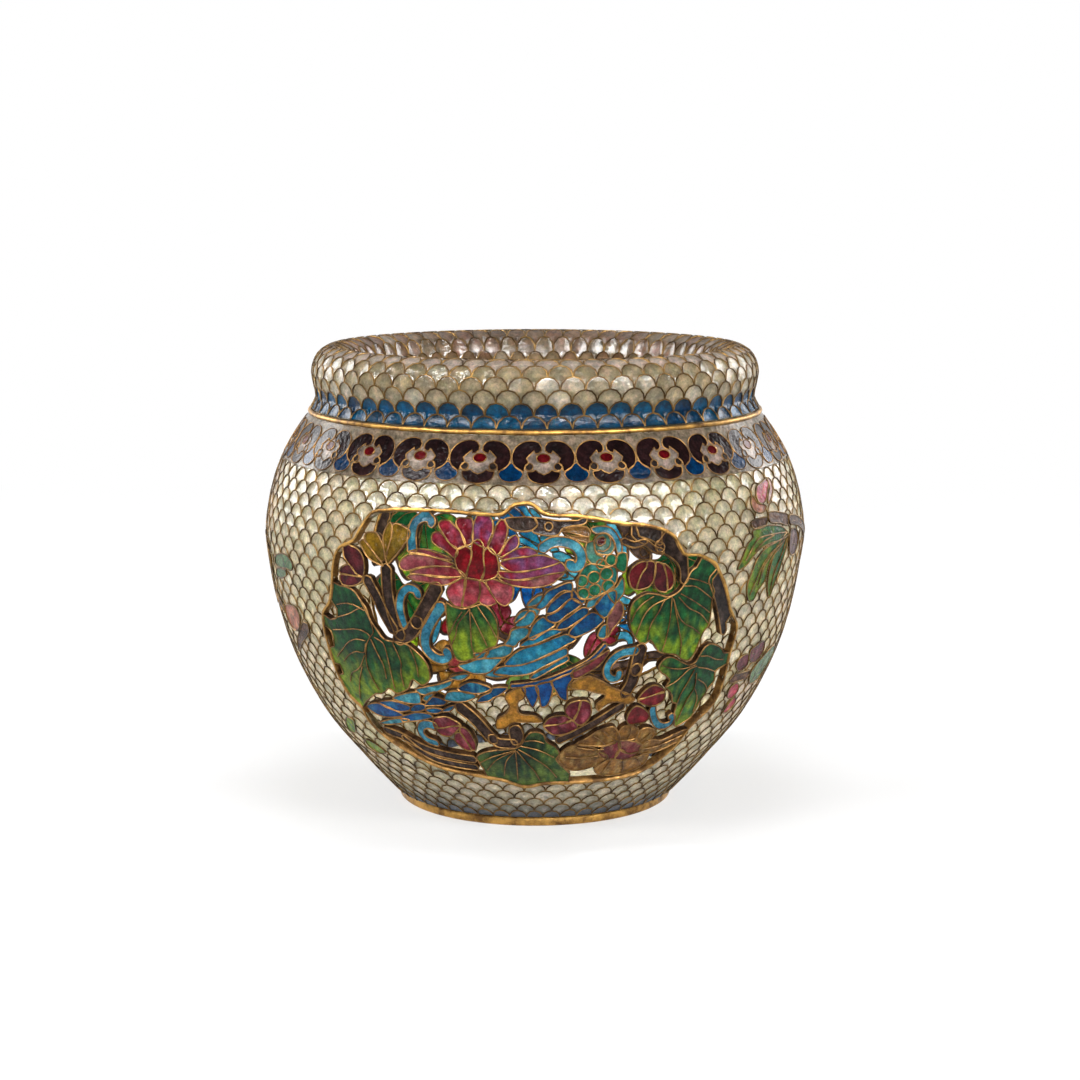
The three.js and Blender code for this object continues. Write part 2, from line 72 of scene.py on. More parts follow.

# A scale's dish below its wires and the dip of its middle, and its colour on the way in: browner painted
# shade along its wires, painted light in its middle
SCALE_DISH = 0.12
SCALE_MIDDLE = 0.03
EDGE_PAINTED_SHADE = (0.46, 0.36, 0.24)
DISH_PAINTED_SHADE = (0.84, 0.79, 0.68)
MIDDLE_PAINTED_LIGHT = (1.22, 1.22, 1.18)

rng = random.Random(11)


def tone(red, green, blue):
    """A written colour, 0 to 255, as the linear colour that a shader takes."""
    def linear(value):
        value /= 255
        return value / 12.92 if value < 0.04045 else ((value + 0.055) / 1.055) ** 2.4
    return (linear(red), linear(green), linear(blue), 1)


def mixed(first, second, share):
    return tuple(a + (b - a) * share for a, b in zip(first, second))


def smooth_line(points, closed=False, step=0.6):
    """Points about a step apart, on a smooth line through the given ones."""
    count = len(points)
    spans = count if closed else count - 1
    line = []
    for i in range(spans):
        if closed:
            before, start, end, after = (points[(i + k) % count] for k in (-1, 0, 1, 2))
        else:
            before, start, end, after = (points[min(max(i + k, 0), count - 1)] for k in (-1, 0, 1, 2))
        span = math.dist(start, end)
        leave = [(c - a) * span / (math.dist(before, start) + span) for a, c in zip(before, end)]
        arrive = [(c - a) * span / (math.dist(end, after) + span) for a, c in zip(start, after)]
        pieces = max(1, round(span / step))
        for k in range(pieces):
            t = k / pieces
            line.append(tuple(
                a * (1 + 2 * t) * (1 - t) ** 2 + m * t * (1 - t) ** 2
                + b * t * t * (3 - 2 * t) + n * t * t * (t - 1)
                for a, b, m, n in zip(start, end, leave, arrive)))
    if not closed:
        line.append(tuple(points[-1]))
    return line


class Skin:
    """The outer face of the wall or the collar, turned from its section line."""

    STEP = 0.2

    def __init__(self, line):
        fine = smooth_line(line, step=0.05)
        distances = [0]
        for start, end in zip(fine, fine[1:]):
            distances.append(distances[-1] + math.dist(start, end))
        self.length = distances[-1]
        self.rows = []
        for k in range(int(self.length / self.STEP) + 2):
            along = min(k * self.STEP, self.length)
            i = min(max(bisect.bisect(distances, along) - 1, 0), len(fine) - 2)
            share = (along - distances[i]) / (distances[i + 1] - distances[i])
            radius, height = mixed(fine[i], fine[i + 1], share)
            low, high = fine[max(i - 8, 0)], fine[min(i + 9, len(fine) - 1)]
            rise, run = high[1] - low[1], high[0] - low[0]
            size = math.hypot(rise, run)
            self.rows.append((radius, height, rise / size, -run / size))
        self.heights = [row[1] for row in self.rows]

    def at(self, along):
        """Radius, height and outward direction at a distance along the section."""
        place = min(max(along / self.STEP, 0), len(self.rows) - 1.001)
        i = int(place)
        return mixed(self.rows[i], self.rows[i + 1], place - i)

    def along_at(self, height):
        """Distance along a rising section at a height."""
        i = min(max(bisect.bisect(self.heights, height) - 1, 0), len(self.heights) - 2)
        step = self.heights[i + 1] - self.heights[i]
        return (i + (height - self.heights[i]) / step if step else i) * self.STEP

    def point(self, angle, along, depth=0):
        """The place of a point of the skin, with angle 0 at the front and depth outwards, in metres."""
        radius, height, out, up = self.at(along)
        radius += out * depth
        return Vector((radius * math.sin(angle), -radius * math.cos(angle), height + up * depth)) * MM

    def window_point(self, across, height, depth=0):
        """The place of a point drawn on the window, as distance round the belly and height."""
        return self.point(across / BELLY_RADIUS, self.along_at(height), depth)


wall_skin = Skin(WALL_LINE)
collar_skin = Skin(COLLAR_LINE)


# Materials
def painter(owner):
    """A function that adds a node, with its settings and inputs, to an emptied material or world."""
    owner.use_nodes = True
    nodes, links = owner.node_tree.nodes, owner.node_tree.links
    nodes.clear()

    def node(kind, **settings):
        new = nodes.new("ShaderNode" + kind)
        for key, value in settings.items():
            if key in ("operation", "data_type", "attribute_name"):
                setattr(new, key, value)
                continue
            socket = new.inputs[int(key[1:]) if key[1:].isdigit() else key.replace("_", " ")]
            if isinstance(value, bpy.types.NodeSocket):
                links.new(value, socket)
            else:
                socket.default_value = value
        return new

    return node


def material(name):
    made = bpy.data.materials.new(name)
    return made, painter(made)


def blend(node, share, first, second):
    return node("Mix", data_type="RGBA", n0=share, n6=first, n7=second).outputs[2]


def enamel(name, clarity=0.34, grain=0.4, hues=0.1, gloss=0.22, depth=0.72, waves=0.00013):
    """Fired enamel of the colour that its cells carry, with light coming through from behind."""
    made, node = material(name)
    place = node("TexCoord").outputs["Object"]
    tint = node("Attribute", attribute_name="tint").outputs["Color"]
    cloud = node("TexNoise", Vector=place, Scale=760, Detail=2.5, Roughness=0.6)
    fine = node("TexNoise", Vector=place, Scale=2600, Detail=3, Roughness=0.7)
    pits = node("TexVoronoi", Vector=place, Scale=1150)
    level = node("MapRange", Value=cloud.outputs["Fac"], From_Min=0.34, From_Max=0.66, To_Min=1 - grain,
                 To_Max=1 + grain)
    hue = node("VectorMath", operation="MULTIPLY_ADD", n0=cloud.outputs["Color"], n1=[2 * hues] * 3,
               n2=[1 - hues] * 3)
    speckle = node("MapRange", Value=fine.outputs["Fac"], From_Min=0.36, From_Max=0.64, To_Min=0.72,
                   To_Max=1.28)
    both_levels = node("Math", operation="MULTIPLY", n0=level.outputs["Result"], n1=speckle.outputs["Result"])
    toned = node("VectorMath", operation="MULTIPLY", n0=tint, n1=both_levels.outputs["Value"])
    colour = node("VectorMath", operation="MULTIPLY", n0=toned.outputs["Vector"], n1=hue.outputs["Vector"])
    uneven = node("Math", operation="MULTIPLY_ADD", n0=cloud.outputs["Fac"], n1=1.2, n2=fine.outputs["Fac"])
    height = node("Math", operation="ADD", n0=uneven.outputs["Value"], n1=pits.outputs["Distance"])
    bump = node("Bump", Strength=0.6, Distance=waves, Height=height.outputs["Value"])
    body = node("BsdfPrincipled", Base_Color=colour.outputs["Vector"], Roughness=0.13,
                Specular_IOR_Level=gloss, Coat_Weight=gloss * 0.4, Coat_Roughness=0.03,
                Normal=bump.outputs["Normal"])
    clearer = node("Gamma", Color=colour.outputs["Vector"], Gamma=depth)
    through = node("BsdfTranslucent", Color=clearer.outputs["Color"])
    both = node("MixShader", n0=clarity, n1=body.outputs["BSDF"], n2=through.outputs["BSDF"])
    node("OutputMaterial", Surface=both.outputs["Shader"])
    return made


def gilded(name, bright, worn, wear=0.5, roughness=0.3):
    """Gilt copper: bright gold that has gone brown in places."""
    made, node = material(name)
    place = node("TexCoord").outputs["Object"]
    patches = node("TexNoise", Vector=place, Scale=320, Detail=5, Roughness=0.7)
    fine = node("TexNoise", Vector=place, Scale=1900, Detail=3, Roughness=0.6)
    share = node("MapRange", Value=patches.outputs["Fac"], From_Min=wear - 0.12, From_Max=wear + 0.12)
    colour = blend(node, share.outputs["Result"], bright, worn)
    rough = node("MapRange", Value=fine.outputs["Fac"], From_Min=0.3, From_Max=0.7, To_Min=roughness - 0.08,
                 To_Max=roughness + 0.18)
    bump = node("Bump", Strength=0.6, Distance=0.00012, Height=fine.outputs["Fac"])
    body = node("BsdfPrincipled", Base_Color=colour, Metallic=1.0, Roughness=rough.outputs["Result"],
                Normal=bump.outputs["Normal"])
    node("OutputMaterial", Surface=body.outputs["BSDF"])
    return made


clear_enamel = enamel("clear scale enamel", clarity=0.5, hues=0.2, gloss=1, depth=0.52, waves=0.00011)
blue_scale = enamel("blue scale enamel", clarity=0.3, grain=0.5, hues=0.15)
band_enamel = enamel("ruyi band enamel", clarity=0.1, grain=0.45, hues=0.15, gloss=0.1, waves=0.00008)
blue_enamel = enamel("bird enamel", hues=0.14)
green_enamel = enamel("leaf enamel")
brown_enamel = enamel("branch enamel", clarity=0.1, grain=0.5, gloss=0.06)
amber_enamel = enamel("amber enamel")
rose_enamel = enamel("rose enamel", hues=0.16)
ground_wire = gilded("ground wire copper", tone(138, 108, 62), tone(66, 50, 32), wear=0.46, roughness=0.46)
window_wire = gilded("window wire gilt", tone(164, 124, 72), tone(84, 60, 36), wear=0.47, roughness=0.48)
# The sides of the cells are copper, made darker as painted shade inside the holes
cell_side_copper_and_shade = gilded("cell side copper and painted shade", tone(104, 74, 46), tone(44, 31, 22), wear=0.46, roughness=0.6)
gilt = gilded("gilt copper", tone(192, 148, 78), tone(104, 74, 42), wear=0.5, roughness=0.38)


# Making of pieces
def add_piece(name, mesh, materials, slot, *nodes):
    for used in materials:
        mesh.materials.append(used)
    mesh.set_sharp_from_angle(angle=math.radians(38))
    made = bpy.data.objects.new(name, mesh)
    bpy.context.scene.collection.objects.link(made)
    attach(made, "root")
    if nodes:
        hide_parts(*nodes)


def finished(body, name):
    """The mesh of a finished bmesh, smooth to look at."""
    for face in body.faces:
        face.smooth = True
    mesh = bpy.data.meshes.new(name)
    body.to_mesh(mesh)
    body.free()
    return mesh


def coloured_body():
    """An empty bmesh whose corners can carry a colour."""
    body = bmesh.new()
    body.loops.layers.float_color.new("tint")
    return body


def add_ring(body, places):
    """Corners at the places, joined into a closed ring."""
    corners = [body.verts.new(place) for place in places]
    for start, end in zip(corners, corners[1:] + corners[:1]):
        body.edges.new((start, end))


def add_back(body, move):
    """Makes a sheet solid: a second face like the first, whose corners move puts in their place."""
    made = bmesh.ops.extrude_face_region(body, geom=body.faces[:])
    for part in made["geom"]:
        if isinstance(part, bmesh.types.BMVert):
            move(part.co)
    bmesh.ops.recalc_face_normals(body, faces=body.faces)


def turn_round(body, steps, merge):
    """Turns the body's ring round the jar's axis; corners closer than merge millimetres become one."""
    bmesh.ops.spin(body, geom=body.verts[:] + body.edges[:], cent=(0, 0, 0), axis=(0, 0, 1),
                   angle=2 * math.pi, steps=steps, use_merge=True)
    bmesh.ops.remove_doubles(body, verts=body.verts, dist=merge * MM)
    bmesh.ops.recalc_face_normals(body, faces=body.faces)


def take_in(body, other, finish=None):
    """Adds another bmesh or mesh to a body, and lets go of it."""
    mesh = other
    if isinstance(other, bmesh.types.BMesh):
        mesh = bpy.data.meshes.new("part")
        other.to_mesh(mesh)
        other.free()
    if finish is not None:
        for face in mesh.polygons:
            face.material_index = finish
    body.from_mesh(mesh)
    bpy.data.meshes.remove(mesh)


def wires(lines, width, sides=1):
    """A round wire along each line of places; a line is its places and whether it closes."""
    curve = bpy.data.curves.new("wire", "CURVE")
    curve.dimensions = "3D"
    curve.bevel_depth = width / 2 * MM
    curve.bevel_resolution = sides
    curve.use_fill_caps = True
    for places, closed in lines:
        spline = curve.splines.new("POLY")
        spline.points.add(len(places) - 1)
        for knot, place in zip(spline.points, places):
            knot.co = (*place, 1)
        spline.use_cyclic_u = closed
    holder = bpy.data.objects.new("wire", curve)
    mesh = bpy.data.meshes.new_from_object(holder)
    bpy.data.objects.remove(holder)
    bpy.data.curves.remove(curve)
    return mesh


def filled(outline, square):
    """A flat sheet inside an outline, with a narrow rim, cut into squares so that it can follow the wall."""
    sheet = bmesh.new()
    whole = sheet.faces.new([sheet.verts.new((across, height, 0)) for across, height in outline])
    bmesh.ops.inset_region(sheet, faces=[whole], use_boundary=True,
                           thickness=min(RIM, 0.5 * whole.calc_area() / whole.calc_perimeter()))
    for axis in (0, 1):
        low = min(point[axis] for point in outline)
        high = max(point[axis] for point in outline)
        cut = math.ceil(low / square) * square + 0.013
        while cut < high:
            middle = Vector((0, 0, 0))
            way = Vector((0, 0, 0))
            middle[axis] = cut
            way[axis] = 1
            bmesh.ops.bisect_plane(sheet, geom=sheet.verts[:] + sheet.edges[:] + sheet.faces[:],
                                   dist=0.0001, plane_co=middle, plane_no=way)
            cut += square
    bmesh.ops.triangulate(sheet, faces=[face for face in sheet.faces if len(face.verts) > 4])
    return sheet


def edge_distance(across, height, outline, closed=True):
    nearest = 1e9
    for (u0, z0), (u1, z1) in zip(outline, outline[1:] + outline[:1] if closed else outline[1:]):
        du, dz = u1 - u0, z1 - z0
        share = ((across - u0) * du + (height - z0) * dz) / (du * du + dz * dz + 1e-12)
        share = min(max(share, 0), 1)
        nearest = min(nearest, math.hypot(across - u0 - share * du, height - z0 - share * dz))
    return nearest


def inside(across, height, outline):
    found = False
    for (u0, z0), (u1, z1) in zip(outline, outline[1:] + outline[:1]):
        if (z0 > height) != (z1 > height) and across < (u1 - u0) * (height - z0) / (z1 - z0) + u0:
            found = not found
    return found


def turning(outline):
    return sum(u0 * z1 - u1 * z0 for (u0, z0), (u1, z1) in zip(outline, outline[1:] + outline[:1]))


def grown(outline, distance):
    """The outline moved outwards by a distance."""
    if turning(outline) < 0:
        outline = outline[::-1]
    moved = []
    for (u0, z0), (u, z), (u1, z1) in zip(outline[-1:] + outline[:-1], outline, outline[1:] + outline[:1]):
        size = math.hypot(u1 - u0, z1 - z0) or 1
        moved.append((u + (z1 - z0) / size * distance, z - (u1 - u0) / size * distance))
    return moved


def stroke(width, points, taper=1.0):
    """Outline of a branch or curl: a middle line with its width and its width at the far end."""
    line = smooth_line(points, step=0.8)
    left, right = [], []
    for i, (across, height) in enumerate(line):
        before, after = line[max(i - 1, 0)], line[min(i + 1, len(line) - 1)]
        size = math.dist(before, after)
        du, dz = (after[0] - before[0]) / size, (after[1] - before[1]) / size
        half = width / 2 * (1 + (taper - 1) * i / (len(line) - 1))
        if i == 0:
            nose = (across - du * half * 0.8, height - dz * half * 0.8)
        left.append((across - dz * half, height + du * half))
        right.append((across + dz * half, height - du * half))
    tip = (across + du * half * 0.8, height + dz * half * 0.8)
    return [nose] + right + [tip] + left[::-1]


def circle(across, height, radius, count=12):
    turns = [2 * math.pi * k / count for k in range(count)]
    return [(across + radius * math.cos(turn), height + radius * math.sin(turn)) for turn in turns]


class Tint:
    """A colour, or two that run into each other away from a middle, streaked and flecked by hand."""

    def __init__(self, inner, outer=None, middle=(0, 0), near=0, far=1, fleck=None):
        self.inner, self.outer = tone(*inner), tone(*(outer or inner))
        self.middle, self.near, self.far = middle, near, far
        self.fleck = tone(*fleck) if fleck else None

    def at(self, across, height):
        streak = noise.noise(Vector((across * 0.8, height * 0.3, 2)))
        share = (math.dist((across, height), self.middle) - self.near) / (self.far - self.near) + streak * 0.6
        share = min(max(share, 0), 1)
        found = mixed(self.inner, self.outer, share * share * (3 - 2 * share))
        if self.fleck:
            patch = noise.noise(Vector((across * 0.7, height * 0.5, 9))) * 2.2
            found = mixed(found, self.fleck, min(max(patch, 0), 0.8))
        return found


def cell(outline, tint, place, front=-0.05, thickness=WALL, dish=0.1, square=0.7, ribs=()):
    """One enamel cell: its outline filled, dished on both faces, darker along its wires and ribs as painted
    shade, on the wall.
    """
    shade = rng.uniform(0.86, 1.12)
    slab = filled(outline, square)
    layer = slab.loops.layers.float_color.new("tint")
    painted_shade = {}
    for vert in slab.verts:
        room = edge_distance(vert.co.x, vert.co.y, outline)
        sink = min(room / 0.8, 1)
        vert.co.z = front - dish * sink * (2 - sink)
        by_rib = min([edge_distance(vert.co.x, vert.co.y, rib, False) for rib in ribs] or [9])
        # Painted shade: darker near the cell's wires and near its ribs
        level = (0.46 + 0.54 * min(room / RIM, 1)) * (0.42 + 0.58 * min(by_rib / RIB_SHADE, 1))
        painted_shade[round(vert.co.x, 4), round(vert.co.y, 4)] = level

    def to_back(spot):
        spot.z = -thickness - spot.z

    add_back(slab, to_back)
    for face in slab.faces:
        if abs(face.normal.z) < 0.3:
            face.material_index = 1
        for loop in face.loops:
            across, height, _ = loop.vert.co
            red, green, blue, _ = tint.at(across, height)
            share = shade * painted_shade[round(across, 4), round(height, 4)]
            loop[layer] = (red * share, green * share, blue * share, 1)
    for vert in slab.verts:
        vert.co = place(*vert.co)
    return slab


# Colours of the window's enamels
TEAL = Tint((44, 116, 142), fleck=(78, 154, 172))
PETAL = Tint((108, 8, 22), (140, 30, 46), (-10.5, 56.5), 3, 8, fleck=(150, 74, 96))
LONG_PETAL = Tint((134, 30, 42), (148, 66, 76), (-10.5, 56.5), 4, 13, fleck=(166, 110, 102))
VIOLET = Tint((144, 26, 42), (128, 60, 96), (-10.5, 56.5), 4, 12, fleck=(124, 82, 132))
LOW_PETAL = Tint((142, 28, 42), (164, 66, 76), (-10.5, 56.5), 4, 9, fleck=(178, 100, 106))
HEART = Tint((112, 6, 16), fleck=(150, 14, 28))
LEFT_LEAF = Tint((10, 62, 32), (118, 142, 22), (-35, 46), 10, 18, fleck=(26, 92, 38))
MIDDLE_LEAF = Tint((12, 66, 30), (122, 142, 26), (-11, 50), 4, 9, fleck=(56, 104, 32))
UPPER_LEAF = Tint((6, 64, 30), (116, 142, 22), (30, 53), 8, 16, fleck=(18, 90, 38))
LOWER_LEAF = Tint((6, 66, 32), (116, 144, 24), (38, 38), 8, 15, fleck=(24, 94, 40))
BOTTOM_LEAF = Tint((8, 42, 20), (84, 106, 38), (-5, 20), 4, 10, fleck=(24, 66, 30))
AMBER_BUD = Tint((104, 78, 12), (148, 112, 22), (-28, 55), 1, 7, fleck=(128, 104, 30))
MAROON = Tint((76, 16, 22), fleck=(102, 30, 38))
WINE = Tint((94, 8, 16), fleck=(124, 26, 34))
PINK = Tint((120, 32, 46), (90, 18, 30), (-18, 20), 2, 6, fleck=(150, 70, 82))
AMBER = Tint((136, 92, 30), (116, 78, 30), (22, 18), 4, 12, fleck=(160, 126, 64))
AMBER_HEART = Tint((100, 22, 36), (126, 60, 50), (21, 18), 1, 6, fleck=(140, 90, 70))
BARK = Tint((54, 40, 34), (40, 31, 27), (0, 40), 10, 40, fleck=(76, 60, 52))
COBALT = Tint((0, 62, 108), fleck=(10, 106, 148))
SKY = Tint((16, 114, 146), (0, 68, 116), (0, 40), 2, 9, fleck=(54, 148, 168))
AQUA = Tint((40, 122, 144), fleck=(80, 158, 172))
CREST = Tint((46, 126, 148), fleck=(82, 158, 172))
HEAD = Tint((24, 108, 70), fleck=(54, 142, 100))
BREAST = Tint((40, 126, 130), (30, 116, 92), (15, 50), 1, 6, fleck=(74, 150, 144))
FACE = Tint((70, 136, 116), fleck=(134, 170, 150))
EYE = Tint((90, 14, 16))
BEAK = Tint((140, 98, 44), fleck=(110, 74, 36))
LEG = Tint((166, 116, 34), fleck=(132, 90, 28))
THIGH = Tint((122, 48, 54), fleck=(144, 84, 84))
RUST = Tint((108, 62, 60), fleck=(140, 90, 86))
TAIL = Tint((2, 66, 126), (34, 118, 146), (-34, 26), 3, 22, fleck=(24, 108, 150))
UNDER_TAIL = Tint((2, 62, 122), fleck=(12, 88, 146))

